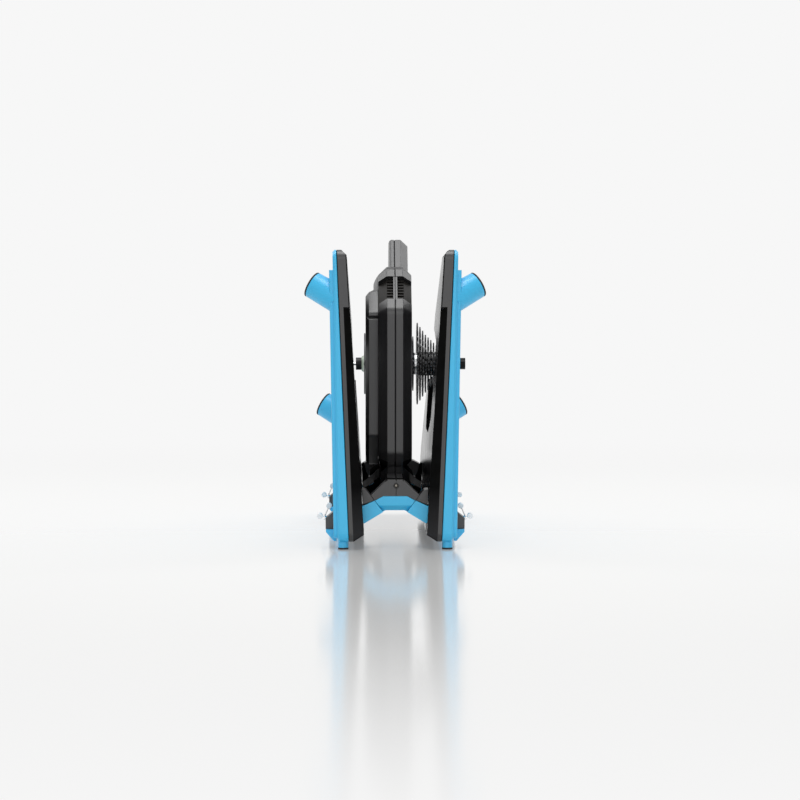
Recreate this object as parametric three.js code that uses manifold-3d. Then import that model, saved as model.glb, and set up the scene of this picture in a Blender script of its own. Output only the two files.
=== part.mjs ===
// A folding direct drive bike trainer, folded for storage.
// X runs across the bike (drive side positive), Y runs forward, Z is up, all in millimetres.
import * as THREE from 'three';
import { mergeVertices } from 'three/addons/utils/BufferGeometryUtils.js';
import Module from 'manifold-3d';

const wasm = await Module();
wasm.setup();

// Fits and facets
const clearance = 0.3;
const runningGap = 1;
const overrun = 4;
const weldDistance = 1e-4;
const largeSides = 48;
const mediumSides = 28;
const smallSides = 16;

// Stance of the folded trainer
const legLength = 620;
const legHeight = 417;
const stubHeight = 8.5;
const stubRadius = 7.5;
const stubSpread = 74.5;
const stubInset = 20;
const stubSetback = legLength / 2 - stubInset;
const padThickness = 2.5;
const legBottom = padThickness + stubHeight;

// Leg hinges
const hingeSpread = 77;
const hingeHeight = 40;
const rodRadius = 4;
const rodInset = 6;
const rodRearEnd = legLength / 2 - rodInset;
const rodOverhang = 20;
const knuckleRadius = 10;
const foldLimit = Math.PI * 2 / 3;

// Legs, given as half widths at the bottom and at the top
const innerLow = 44.2;
const innerHigh = 69.7;
const seamLow = 66.5;
const seamHigh = 84;
const slabLow = 82.8;
const slabHigh = 89.5;
const coverEdge = 7;
const coverBevel = 10;
const slabBevel = 3;
const ledgeRise = 5.3;
const ledgeInset = 5;
const ledgeBevel = 2;
const ledgeDrop = 29;
const ledgeTop = legBottom + legHeight - ledgeDrop;
const coverRootWall = 13;
const coverHeadWall = 6;
const coverRimWall = 3.5;
const slabWall = 4;
const solidRoot = 84;
const legShares = [
  [-1, 0], [1, 0], [1, 0.1], [0.935, 0.261], [0.484, 0.544], [0.213, 0.544], [0.213, 0.369],
  [-0.19, 0.369], [-0.49, 0.429], [-0.597, 0.657], [-0.071, 0.705], [-0.148, 0.794], [-0.71, 1], [-1, 1],
];

// Latch brackets and latches on the outside of the legs
const bracketLow = 85;
const bracketToe = 88;
const bracketReach = 99.5;
const bracketBend = 24;
const bracketTop = 27.5;
const bracketMargin = 6;
const latchReach = 100;
const latchTop = 52;
const latchShoulder = 43;
const latchInset = 2;
const latchSpread = 94.5;
const latchHeight = 39;
const latchPinRadius = 3;
const latchPinDepth = 4;
const latchHeadThick = 3;
const latchHeadWidth = 30;
const pullTilt = Math.PI / 6;
const ringTilt = Math.PI * 0.58;
const wireRadius = 1.2;
const ringWidth = 11;
const lowRingReach = 11;
const highRingReach = 22;
const ringOffset = 8;
const wireSteps = 12;
const wireSegments = 3;

// Feet
const tubeRadius = 19.2;
const tubeWall = 3;
const tubeFlare = 1.2;
const tubeTilt = Math.PI / 6;
const tubeRake = 16 * Math.PI / 180;
const footPadThickness = 2.2;
const footPadPlug = 8;
const tubeLength = 46;
const rearFoot = { spread: 119.6, forwardShare: -0.887097, heightShare: 0.882974 };
const frontFoot = { spread: 109.2, forwardShare: 0.322581, heightShare: 0.435252 };

// Hinge arms and spine
const armWidth = 36;
const rearArmInset = 50;
const armSpacing = 390;
const rearArmCentre = rearArmInset - legLength / 2;
const frontArmCentre = rearArmCentre + armSpacing;
const rodFrontEnd = frontArmCentre + armWidth / 2 + rodOverhang;
const spineInset = 12;
const spineFront = legLength / 2 - spineInset;
const archFlat = 13.5;
const archBottom = 54;
const seamFoot = { x: 17, z: 52 };
const seamHead = { x: 29.2, z: 68.7 };
const spineFlat = 17.5;
const spineTop = 75;
const armMouth = { x: 44.7, z: 35.4 };
const armStepReach = 26;
const armHead = { x: 46.8, z: 60.8 };
const coverFoot = { x: 46.7, z: 62.6 };
const coverHead = { x: 47.8, z: 85 };
const coverShoulder = { x: 41.4, z: 84 };
const coverSeam = { x: 34.7, z: 76 };
const lowCoverHead = { x: 47.4, z: 68.4 };
const crossbarEnd = { x: 48.2, z: 86.2 };
const crossbarHeel = { x: 47, z: 72.5 };
const crossbarToe = { x: 37.6, z: 56 };
const crossbarRoot = { x: 21.8, z: 57.5 };
const crossbarShoulder = { x: 37, z: 92 };
const crossbarTop = 98;
const crossbarFlat = 12;
const crossbarWidth = 36;
const crossbarRear = spineFront - crossbarWidth;

// Motor room in the housing
const axleRise = 183.6;
const axleHeight = spineTop + axleRise;
const rotorRadius = 122;
const motorGap = 4;
const motorBore = rotorRadius + motorGap;
const shellWall = 3.5;
const motorRoom = motorBore + shellWall;

// Housing
const seamSpread = 1.5;
const grooveSize = 1;
const shellHalfLength = 200;
const shellFootMargin = 21.1;
const shellHeadMargin = 17.9;
const shellBottom = axleHeight - motorRoom - shellFootMargin;
const shellHeight = motorRoom * 2 + shellFootMargin + shellHeadMargin;
const shellLeft = 23.5;
const shellRight = 26;
const shellFlatLeft = 11;
const shellFlatRight = 13.4;
const shellChamfer = 12.5;
const shellShares = [
  [-0.95, 0], [0.95, 0], [1, 0.082], [1, 0.785], [0.71, 1], [-0.71, 1], [-1, 0.785], [-1, 0.082],
];
const crownOverlap = 21;
const crownBottom = shellBottom + shellHeight - crownOverlap;
const crownHeight = 63;
const crownHalfLength = 120;
const crownLeft = 6;
const crownRight = 21.5;
const crownEdge = 2;
const crownFlatRight = 11;
const crownChamfer = 10;
const crownShares = [[-1, 0], [1, 0], [0.55, 1], [-0.55, 1]];
const ridgeHalfWidth = 12.2;
const footFlareTop = 97;
const footFlareHalf = 13.3;
const footFrontGap = 4;
const footFront = crossbarRear - footFrontGap;
const footTip = 90;
const footRidge = 101;
const footRidgeInset = 16;
const neckInset = 12;
const neckHalfLength = shellHalfLength - neckInset;
const neckChamfer = 9;
const neckRake = 14;

// Screw at the foot of the seam
const screwHeight = 89.8;
const screwHeadRadius = 2.9;
const screwHeadThick = 2.4;
const screwRecessRadius = 4.2;
const screwRecessDepth = 4;
const screwShankRadius = 1.6;
const screwShankLength = 16;

// Vent in the slope over the rear face
const ventLowShare = 0.26;
const ventHighShare = 0.78;
const ventDepth = 6;
const grilleThick = 5;
const grilleHalfWidth = 20;
const louverRows = 8;
const louverGap = 2;
const ventSpineHalf = 2.6;
const grilleRim = 2.4;

// Motor
const coverFootMargin = 21.6;
const coverHeadDrop = 14.6;
const coverSideMargin = 46;
const coverHalfLength = motorBore + coverSideMargin;
const coverBottom = axleHeight - motorBore - coverFootMargin;
const coverHeight = motorBore * 2 + coverFootMargin - coverHeadDrop;
const coverReach = 42;
const coverRound = 3.6;
const motorWall = 3;
const shoulderRim = 9;
const shoulderRadius = motorBore + shoulderRim;
const shoulderStep = { reach: 27.2, drop: 5.9 };
const shoulderEnd = { reach: 29.7, drop: 12.1 };
const coverShares = [
  [-1, 0.173], [-0.74, 0], [0.74, 0], [1, 0.173], [1, 0.873], [0.808, 1], [-0.808, 1], [-1, 0.873],
];
const rotorRim = 10;
const magnetThick = 2.4;
const magnetCount = 32;
const rotorRimLeft = 25;
const rotorRimRight = 1;
const rotorWebThick = 5;
const rotorHubRadius = 21;
const rotorHubEnd = 30;
const magnetGap = 1.3;
const statorCore = 82;
const statorTeeth = 24;
const statorToothShare = 0.55;
const statorThick = 18;
const statorHubRadius = 24;
const statorWebThick = 6;
const statorRingInner = 66;

// Axle and its ends
const axleRadius = 8.5;
const axleLeft = 44.3;
const axleRight = 71;
const skewerRadius = 2.5;
const bearingRadius = 16;
const bearingWidth = 8;
const bearingRightEnd = 29;
const discRadius = 47;
const discThick = 2;
const coneRadius = 13;
const coneTip = 11;
const coneLength = 3.4;
const endRadius = 9.5;
const endLength = 9;
const endRightLength = 6;

// Drive side
const flangeRadius = 17;
const flangeThick = 3.3;
const toothRingRadius = 42;
const toothRingInner = 36;
const toothRingThick = 1.5;
const toothRingTeeth = 36;
const toothRingDepth = 1.5;
const toothRingSpokes = 4;
const spokeWidth = 9;
const freehubRadius = 17;
const freehubBore = 13.3;
const freehubEnd = 70.7;
const cogStart = 36.9;
const cogPitch = 4.2;
const cogThick = 1.8;
const cogTeeth = [30, 27, 24, 21, 19, 17, 15, 13, 11];
const chainPitch = 12.7;
const toothTip = 2.3;
const toothRoot = 3.9;
const toothShares = [[0, 0], [0.38, 1], [0.62, 1]];
const spacerRadius = 18.4;
const lockringThick = 2;
const lockringInner = 11;

// Quick release skewer
const nutEnd = 112;
const nutRadius = 8.9;
const nutLength = 14;
const nutFloor = 2.7;
const nutNeckShare = 0.7;
const nutTaperShare = 0.3;
const cupRadius = 8.5;
const cupLength = 9.4;
const camSpread = 80;
const camRadius = 8;
const camHeight = 18;
const camPinRadius = 3;
const camSlot = 7;
const leverLength = 56;
const leverThick = 5;
const leverWidth = 14;

// Circuit board and power inlet
const boardThick = 1.6;
const boardLeft = 12;
const boardInset = 10;
const boardDrop = 76.6;
const boardRear = shellHalfLength - boardInset;
const boardRotorGap = 16;
const boardDepth = boardRear - rotorRadius - boardRotorGap;
const boardLow = axleHeight - boardDrop;
const boardHeight = 146;
const boardPostRadius = 4;
const boardPostInset = 23;
const boardPostSetback = boardRear - boardDepth / 2;
const boardPostLow = boardLow + boardPostInset;
const boardPostHigh = boardLow + boardHeight - boardPostInset;
const inletSpread = 7.5;
const inletRise = 60;
const inletHeight = shellBottom + inletRise;
const inletFlange = 5;
const inletFlangeThick = 2;
const inletRadius = 4;
const inletBore = 1.6;
const inletDepth = 12;

// Finishes
const blue = new THREE.MeshStandardMaterial({ color: 0x4eb2e2, roughness: 0.4, metalness: 0 });
const charcoal = new THREE.MeshStandardMaterial({ color: 0x3a3a3e, roughness: 0.5, metalness: 0 });
const rubber = new THREE.MeshStandardMaterial({ color: 0x1b1b1d, roughness: 0.85, metalness: 0 });
const steel = new THREE.MeshStandardMaterial({ color: 0xb9bcc0, roughness: 0.28, metalness: 1 });
const darkSteel = new THREE.MeshStandardMaterial({ color: 0x4a4a4e, roughness: 0.35, metalness: 1 });
const greenGrey = new THREE.MeshStandardMaterial({ color: 0x8b9a8e, roughness: 0.5, metalness: 0.3 });
const copper = new THREE.MeshStandardMaterial({ color: 0xb87343, roughness: 0.4, metalness: 0.8 });
const boardGreen = new THREE.MeshStandardMaterial({ color: 0x2c6b46, roughness: 0.6, metalness: 0 });

// Solids and booleans
function volumeOf(positions, index) {
  const [a, b, c] = [new THREE.Vector3(), new THREE.Vector3(), new THREE.Vector3()];
  let sum = 0;
  for (let i = 0; i < index.length; i += 3) {
    a.fromArray(positions, index[i] * 3);
    b.fromArray(positions, index[i + 1] * 3);
    c.fromArray(positions, index[i + 2] * 3);
    sum += a.dot(b.cross(c)) / 6;
  }
  return sum;
}

function tidyGeometry(positions, index) {
  const loose = new THREE.BufferGeometry();
  loose.setAttribute('position', new THREE.BufferAttribute(Float32Array.from(positions), 3));
  loose.setIndex(Array.from(index));
  const merged = mergeVertices(loose, weldDistance);
  const kept = [];
  const order = merged.index.array;
  for (let i = 0; i < order.length; i += 3) {
    const [a, b, c] = [order[i], order[i + 1], order[i + 2]];
    if (a !== b && b !== c && c !== a) kept.push(a, b, c);
  }
  if (volumeOf(merged.attributes.position.array, kept) < 0) kept.reverse();
  merged.setIndex(kept);
  return merged;
}

function bare(geometry) {
  const count = geometry.attributes.position.count;
  const index = geometry.index ? geometry.index.array : Array.from({ length: count }, (_, i) => i);
  return tidyGeometry(geometry.attributes.position.array, index);
}

function solidOf(geometry) {
  const clean = bare(geometry);
  return new wasm.Manifold(new wasm.Mesh({
    numProp: 3,
    vertProperties: clean.attributes.position.array,
    triVerts: Uint32Array.from(clean.index.array),
  }));
}

function geometryOf(solid) {
  const mesh = solid.getMesh();
  return tidyGeometry(mesh.vertProperties, mesh.triVerts);
}

function join(...geometries) {
  return geometryOf(geometries.map(solidOf).reduce((whole, next) => whole.add(next)));
}

function cut(geometry, ...tools) {
  return geometryOf(tools.map(solidOf).reduce((whole, tool) => whole.subtract(tool), solidOf(geometry)));
}

function keepInside(geometry, tool) {
  return geometryOf(solidOf(geometry).intersect(solidOf(tool)));
}

// Outlines and the shapes swept from them
function outlineFrom(shares, halfLength, bottom, height) {
  return shares.map(([along, up]) => [along * halfLength, bottom + up * height]);
}

function inset(outline, distance) {
  const count = outline.length;
  const edges = outline.map(([y, z], i) => {
    const [nextY, nextZ] = outline[(i + 1) % count];
    const length = Math.hypot(nextY - y, nextZ - z);
    const inward = [-(nextZ - z) / length, (nextY - y) / length];
    return { inward, reach: inward[0] * y + inward[1] * z + distance };
  });
  return edges.map((edge, i) => {
    const before = edges[(i + count - 1) % count];
    const turn = before.inward[0] * edge.inward[1] - before.inward[1] * edge.inward[0];
    const y = (before.reach * edge.inward[1] - edge.reach * before.inward[1]) / turn;
    const z = (edge.reach * before.inward[0] - before.reach * edge.inward[0]) / turn;
    return [y, z];
  });
}

function loftAcross(sections) {
  const count = sections[0].outline.length;
  const positions = [];
  const index = [];
  for (const { outline, across } of sections) {
    for (const [y, z] of outline) positions.push(typeof across === 'function' ? across(z) : across, y, z);
  }
  for (let s = 0; s + 1 < sections.length; s += 1) {
    for (let j = 0; j < count; j += 1) {
      const [a, b] = [s * count + j, s * count + (j + 1) % count];
      index.push(a, b, b + count, a, b + count, a + count);
    }
  }
  sections.forEach(({ outline }, s) => {
    if (s > 0 && s + 1 < sections.length) return;
    const flat = outline.map(([y, z]) => new THREE.Vector2(y, z));
    for (const [a, b, c] of THREE.ShapeUtils.triangulateShape(flat, [])) {
      const face = s === 0 ? [c, b, a] : [a, b, c];
      index.push(...face.map((corner) => s * count + corner));
    }
  });
  return tidyGeometry(positions, index);
}

function prismAlong(profile, from, to) {
  const shape = new THREE.Shape(profile.map(([x, z]) => new THREE.Vector2(x, z)));
  const prism = new THREE.ExtrudeGeometry(shape, { depth: to - from, bevelEnabled: false });
  return prism.rotateX(Math.PI / 2).translate(0, to, 0);
}

function block(x, y, z) {
  const size = [x[1] - x[0], y[1] - y[0], z[1] - z[0]];
  return new THREE.BoxGeometry(...size).translate((x[0] + x[1]) / 2, (y[0] + y[1]) / 2, (z[0] + z[1]) / 2);
}

function mirrored(geometry) {
  return bare(geometry.clone().scale(-1, 1, 1));
}

function bothSides(rightHalf) {
  const left = rightHalf.map(([x, z]) => [-x, z]).reverse();
  return [...rightHalf, ...left];
}

// Round shapes on the axle, each profile as pairs of place along X and radius
function turned(profile, sides = largeSides) {
  const points = profile.map(([along, radius]) => new THREE.Vector2(radius, along));
  return new THREE.LatheGeometry(points, sides).rotateZ(-Math.PI / 2).translate(0, 0, axleHeight);
}

function disc(from, to, radius, sides = largeSides) {
  return turned([[from, 0], [from, radius], [to, radius], [to, 0]], sides);
}

function ring(from, to, inner, outer, sides = mediumSides) {
  return turned([[from, inner], [from, outer], [to, outer], [to, inner], [from, inner]], sides);
}

function rodAlongY(x, z, radius, from, to, sides = smallSides) {
  const rod = new THREE.CylinderGeometry(radius, radius, to - from, sides);
  return rod.translate(x, (from + to) / 2, z);
}

function rodBetween(start, end, radius, endRadiusHere = radius, sides = smallSides) {
  const way = end.clone().sub(start);
  const rod = new THREE.CylinderGeometry(endRadiusHere, radius, way.length(), sides);
  const upward = new THREE.Vector3(0, 1, 0);
  rod.applyQuaternion(new THREE.Quaternion().setFromUnitVectors(upward, way.clone().normalize()));
  const middle = start.clone().add(end).multiplyScalar(0.5);
  return rod.translate(middle.x, middle.y, middle.z);
}

// Leg planes
function plane(low, high, shift = 0) {
  return (z) => low + (high - low) * (z - legBottom) / legHeight + shift;
}

const legOutline = outlineFrom(legShares, legLength / 2, legBottom, legHeight);
const slabPlane = plane(slabLow, slabHigh);
const ledgePlane = plane(slabLow, slabHigh, ledgeRise);
const seamInside = plane(seamLow, seamHigh, -clearance / 2);
const seamOutside = plane(seamLow, seamHigh, clearance / 2);

// Where a point of the arm lies outward of the hinge and below it, seen from a fully spread leg
function seenFromSpreadLeg({ x, z }) {
  const [inward, up] = [hingeSpread - x, z - hingeHeight];
  return {
    outward: -inward * Math.cos(foldLimit) - up * Math.sin(foldLimit),
    drop: inward * Math.sin(foldLimit) - up * Math.cos(foldLimit),
  };
}

// The slot in the foot of a leg that the arm passes through while the leg swings
function armSlot(centre) {
  const at = (inward, up) => [hingeSpread - inward, hingeHeight + up];
  const margin = armWidth / 2 + runningGap;
  const fit = runningGap + clearance;
  const mouth = seenFromSpreadLeg(armMouth);
  const headUp = armHead.z - hingeHeight + fit;
  const below = -hingeHeight - overrun;
  const sweep = [
    at(0, knuckleRadius + runningGap), at(hingeSpread - armHead.x + clearance, headUp),
    at(hingeSpread, headUp), at(hingeSpread, below), at(-mouth.outward - fit, below),
    at(-mouth.outward - fit, fit - mouth.drop),
    at(-knuckleRadius - runningGap, fit - mouth.drop), at(-knuckleRadius - runningGap, 0),
  ];
  const wedge = prismAlong(sweep.reverse(), centre - margin, centre + margin);
  const socket = rodAlongY(
    hingeSpread, hingeHeight, knuckleRadius + runningGap, centre - margin, centre + margin, smallSides);
  return join(wedge, socket);
}

const armSlots = [armSlot(rearArmCentre), armSlot(frontArmCentre)];
const hingeBore = rodAlongY(
  hingeSpread, hingeHeight, rodRadius + clearance, -rodRearEnd - clearance, rodFrontEnd + clearance);

function legVoid(from, to, wall) {
  const hollow = loftAcross([
    { outline: inset(legOutline, wall), across: from },
    { outline: inset(legOutline, wall), across: to },
  ]);
  const upper = block([0, slabHigh * 2], [-legLength, legLength], [solidRoot, legHeight * 2]);
  return keepInside(hollow, upper);
}

function legCover() {
  const outer = loftAcross([
    { outline: inset(legOutline, coverBevel), across: plane(innerLow, innerHigh) },
    { outline: legOutline, across: plane(seamLow, seamHigh, -coverEdge) },
    { outline: legOutline, across: seamInside },
  ]);
  const hollow = legVoid(plane(innerLow + coverRootWall, innerHigh + coverHeadWall),
    plane(seamLow, seamHigh, overrun), coverBevel + coverRimWall);
  return cut(outer, hollow, ...armSlots);
}

function ledge() {
  const raised = loftAcross([
    { outline: inset(legOutline, ledgeInset), across: plane(slabLow, slabHigh, -overrun) },
    { outline: inset(legOutline, ledgeInset), across: plane(slabLow, slabHigh, ledgeRise - ledgeBevel) },
    { outline: inset(legOutline, ledgeInset + ledgeBevel), across: ledgePlane },
  ]);
  return keepInside(raised, block([0, slabHigh * 2], [-legLength, legLength], [0, ledgeTop]));
}

function bracket(centre) {
  const reach = armWidth / 2 + bracketMargin;
  const profile = [
    [bracketLow, legBottom], [bracketToe, legBottom], [bracketReach, bracketBend],
    [bracketReach, bracketTop], [bracketLow, bracketTop],
  ];
  return prismAlong(profile, centre - reach, centre + reach);
}

function standingStub(y) {
  const stub = new THREE.CylinderGeometry(stubRadius, stubRadius, stubHeight + overrun, smallSides);
  stub.rotateX(Math.PI / 2).translate(stubSpread, y, padThickness + (stubHeight + overrun) / 2);
  return stub;
}

function legShell() {
  const slab = loftAcross([
    { outline: legOutline, across: seamOutside },
    { outline: legOutline, across: plane(slabLow, slabHigh, -slabBevel) },
    { outline: inset(legOutline, slabBevel), across: slabPlane },
  ]);
  const hollow = legVoid(plane(seamLow, seamHigh, -overrun), plane(slabLow, slabHigh, -slabWall),
    slabBevel + slabWall);
  const whole = join(slab, ledge(), bracket(rearArmCentre), bracket(frontArmCentre),
    standingStub(-stubSetback), standingStub(stubSetback));
  return cut(whole, hollow, ...armSlots, hingeBore);
}

function standPad(y) {
  const pad = new THREE.CylinderGeometry(stubRadius, stubRadius, padThickness, smallSides);
  return pad.rotateX(Math.PI / 2).translate(stubSpread, y, padThickness / 2);
}

// Feet, each a tube cut to the face of its leg and closed by a rubber pad
const footDirection = new THREE.Vector3(
  Math.cos(tubeTilt) * Math.cos(tubeRake), Math.sin(tubeRake), Math.sin(tubeTilt) * Math.cos(tubeRake));

function footEnd(foot) {
  return new THREE.Vector3(
    foot.spread, foot.forwardShare * legLength / 2, legBottom + foot.heightShare * legHeight);
}

function alongFoot(foot, distance) {
  return footEnd(foot).addScaledVector(footDirection, distance);
}

function footTube(foot) {
  const end = alongFoot(foot, -footPadThickness - clearance);
  const outer = rodBetween(
    alongFoot(foot, -tubeLength), end, tubeRadius + tubeFlare, tubeRadius, mediumSides);
  const bore = rodBetween(alongFoot(foot, -tubeLength - overrun), alongFoot(foot, overrun),
    tubeRadius - tubeWall, tubeRadius - tubeWall, mediumSides);
  const legFace = loftAcross([
    { outline: inset(legOutline, -tubeLength), across: 0 },
    { outline: inset(legOutline, -tubeLength), across: plane(slabLow, slabHigh, ledgeRise + clearance) },
  ]);
  const { y, z } = footEnd(foot);
  const nearby = block([0, slabHigh * 2], [y - tubeLength * 2, y + tubeLength * 2],
    [z - tubeLength * 2, z + tubeLength * 2]);
  return cut(outer, bore, keepInside(legFace, nearby));
}

function footPad(foot) {
  const cap = rodBetween(alongFoot(foot, -footPadThickness), alongFoot(foot, 0),
    tubeRadius, tubeRadius, mediumSides);
  const plugRadius = tubeRadius - tubeWall - clearance;
  const plug = rodBetween(alongFoot(foot, -footPadThickness - footPadPlug),
    alongFoot(foot, -footPadThickness / 2), plugRadius, plugRadius, mediumSides);
  return join(cap, plug);
}

// Latches
const latchHeadReach = (latchReach - latchSpread) * Math.cos(pullTilt)
  + (latchShoulder - latchHeight) * Math.sin(pullTilt) + latchHeadThick / 2 + clearance * 1.5;

function pullLine(distance) {
  return new THREE.Vector3(
    latchSpread + distance * Math.cos(pullTilt), 0, latchHeight + distance * Math.sin(pullTilt));
}

function latchBlock(centre) {
  const face = plane(slabLow, slabHigh, ledgeRise + clearance);
  const profile = [
    [face(bracketTop), bracketTop + clearance], [latchReach, bracketTop + clearance],
    [latchReach, latchShoulder], [face(latchTop), latchTop],
  ];
  const body = prismAlong(profile, centre - armWidth / 2 + latchInset, centre + armWidth / 2 - latchInset);
  const bore = rodBetween(pullLine(-latchPinDepth - clearance), pullLine(latchHeadReach * 2),
    latchPinRadius + clearance);
  return cut(body, bore.translate(0, centre, 0));
}

function pullRing(y, tilt, reach) {
  const way = new THREE.Vector3(Math.cos(tilt), 0, Math.sin(tilt));
  const side = new THREE.Vector3(0, ringWidth / 2, 0);
  const start = pullLine(latchHeadReach).add(new THREE.Vector3(0, y, 0)).addScaledVector(way, -wireRadius);
  const lift = way.clone().multiplyScalar((reach + wireRadius) * 4 / 3);
  const [near, far] = [start.clone().sub(side), start.clone().add(side)];
  const path = new THREE.CubicBezierCurve3(near, near.clone().add(lift), far.clone().add(lift), far);
  const section = new THREE.Shape();
  section.absarc(0, 0, wireRadius, 0, Math.PI * 2);
  return new THREE.ExtrudeGeometry(section, {
    steps: wireSteps, curveSegments: wireSegments, extrudePath: path, bevelEnabled: false,
  });
}

function latchPull(centre) {
  const pin = rodBetween(pullLine(-latchPinDepth), pullLine(latchHeadReach), latchPinRadius);
  const head = new THREE.BoxGeometry(latchHeadThick, latchHeadWidth, latchHeadThick);
  head.rotateY(-pullTilt);
  const place = pullLine(latchHeadReach);
  head.translate(place.x, 0, place.z);
  return join(pin, head, pullRing(-ringOffset, pullTilt, lowRingReach),
    pullRing(ringOffset, ringTilt, highRingReach)).translate(0, centre, 0);
}

// Spine and hinge arms
const spineHalf = [
  [archFlat, archBottom], [seamFoot.x, seamFoot.z], [seamHead.x, seamHead.z], [spineFlat, spineTop],
];

// The underside steps up beside the hinge, so that a spread leg's latch clears it
function arm(centre) {
  const slope = foldLimit - Math.PI / 2;
  const heel = [hingeSpread - knuckleRadius * Math.sin(slope), hingeHeight - knuckleRadius * Math.cos(slope)];
  const step = [heel[0] - armStepReach * Math.cos(slope), heel[1] + armStepReach * Math.sin(slope)];
  const profile = [
    [seamFoot.x + clearance, seamFoot.z], [armMouth.x, armMouth.z], step, heel, [hingeSpread, hingeHeight],
    [hingeSpread, hingeHeight + knuckleRadius], [armHead.x, armHead.z],
    [seamHead.x + clearance, seamHead.z - clearance],
  ];
  const [from, to] = [centre - armWidth / 2, centre + armWidth / 2];
  const knuckle = rodAlongY(hingeSpread, hingeHeight, knuckleRadius, from, to);
  const body = join(prismAlong(profile, from, to), knuckle);
  const bore = rodAlongY(hingeSpread, hingeHeight, rodRadius + clearance, from - overrun, to + overrun);
  return cut(body, bore);
}

// The rear covers stand up as a shoulder, and the front covers lie low
function armCover(centre) {
  const top = centre < 0 ? [[coverHead.x, coverHead.z], [coverShoulder.x, coverShoulder.z]]
    : [[lowCoverHead.x, lowCoverHead.z]];
  const profile = [
    [seamHead.x + clearance * 2, seamHead.z + clearance / 2], [coverFoot.x, coverFoot.z], ...top,
    [coverSeam.x + clearance, coverSeam.z],
  ];
  return prismAlong(profile, centre - armWidth / 2, centre + armWidth / 2);
}

function frontCrossbar() {
  const rightHalf = [
    [spineFlat, spineTop], [seamHead.x + clearance, seamHead.z], [crossbarRoot.x, crossbarRoot.z],
    [crossbarToe.x, crossbarToe.z], [crossbarHeel.x, crossbarHeel.z], [crossbarEnd.x, crossbarEnd.z],
    [crossbarShoulder.x, crossbarShoulder.z], [crossbarFlat, crossbarTop],
  ];
  return prismAlong(bothSides(rightHalf), crossbarRear, spineFront);
}

// Housing
const shellOutline = outlineFrom(shellShares, shellHalfLength, shellBottom, shellHeight);
const crownOutline = outlineFrom(crownShares, crownHalfLength, crownBottom, crownHeight);
const rearFace = rearArmCentre - armWidth / 2;

function halfSections(seamPlace, flat, edge) {
  return [
    { outline: inset(shellOutline, grooveSize), across: seamPlace },
    { outline: shellOutline, across: seamPlace + grooveSize },
    { outline: shellOutline, across: flat },
    { outline: inset(shellOutline, shellChamfer), across: edge },
  ];
}

function halfVoid(seamPlace, flat, edge) {
  const turn = shellWall * Math.tan(Math.PI / 8);
  return loftAcross([
    { outline: inset(shellOutline, shellWall), across: seamPlace - overrun },
    { outline: inset(shellOutline, shellWall), across: flat - turn },
    { outline: inset(shellOutline, shellChamfer + turn), across: edge - shellWall },
  ]);
}

function crownHalf(seamPlace, flat, edge, chamfer) {
  return loftAcross([
    { outline: inset(crownOutline, grooveSize), across: seamPlace },
    { outline: crownOutline, across: seamPlace + grooveSize },
    { outline: crownOutline, across: flat },
    { outline: inset(crownOutline, chamfer), across: edge },
  ]);
}

function crownVoid(seamPlace, edge, chamfer) {
  return loftAcross([
    { outline: inset(crownOutline, chamfer + shellWall), across: seamPlace - overrun },
    { outline: inset(crownOutline, chamfer + shellWall), across: edge - shellWall },
  ]);
}

// The neck stands on the spine with its ends raked back, and the foot flares out where the hinge arms are
function footHalf(seamPlace, flat) {
  const flare = [
    [seamPlace, spineTop], [spineFlat, spineTop], [seamHead.x, seamHead.z + clearance],
    [coverSeam.x, coverSeam.z + clearance], [footFlareHalf, footFlareTop], [seamPlace, footFlareTop],
  ];
  const ridge = [
    [rearFace, spineTop], [footFront, spineTop], [footFront, footTip],
    [footFront - footRidgeInset, footRidge], [rearFace + footRidgeInset, footRidge], [rearFace, footTip],
  ];
  const neckOutline = [
    [-neckHalfLength + neckRake, spineTop], [neckHalfLength - neckRake, spineTop],
    [neckHalfLength, shellBottom + shellWall], [-neckHalfLength, shellBottom + shellWall],
  ];
  const neck = loftAcross([
    { outline: neckOutline, across: seamPlace },
    { outline: neckOutline, across: flat },
    { outline: narrowed(neckOutline, neckChamfer), across: flat + neckChamfer },
  ]);
  const spread = coverSeam.x * 2;
  const ridgeTo = (reach) => loftAcross([
    { outline: ridge, across: seamPlace },
    { outline: ridge, across: reach },
  ]);
  const base = block([seamPlace, spread], [rearFace, footFront], [0, spineTop + overrun]);
  const rearEnd = rearFace + armWidth;
  const frontEnd = frontArmCentre - armWidth / 2;
  const ends = join(prismAlong(flare, rearFace, rearEnd), prismAlong(flare, frontEnd, footFront));
  return join(keepInside(ends, join(ridgeTo(spread), base)), ridgeTo(ridgeHalfWidth), neck);
}

// Draws in the ends of an outline and leaves its height
function narrowed(outline, depth) {
  return outline.map(([y, z]) => [y - Math.sign(y) * depth, z]);
}

// Vent slope, from the top of the rear face to the top of the shell
const [headCorner, footCorner] = shellOutline.slice(-3, -1);
const slopeFoot = new THREE.Vector2(...footCorner);
const slopeHead = new THREE.Vector2(...headCorner);
const slopeWay = slopeHead.clone().sub(slopeFoot);
const slopeLength = slopeWay.length();
const slopeUnit = slopeWay.clone().normalize();
const slopeIn = new THREE.Vector2(slopeUnit.y, -slopeUnit.x);

function onSlope(along, depth) {
  const place = slopeFoot.clone().addScaledVector(slopeUnit, along).addScaledVector(slopeIn, depth);
  return [place.x, place.y];
}

function slopeBlock(xRange, alongRange, depthRange) {
  const corners = [
    onSlope(alongRange[0], depthRange[0]), onSlope(alongRange[0], depthRange[1]),
    onSlope(alongRange[1], depthRange[1]), onSlope(alongRange[1], depthRange[0]),
  ];
  return loftAcross([{ outline: corners, across: xRange[0] }, { outline: corners, across: xRange[1] }]);
}

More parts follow.
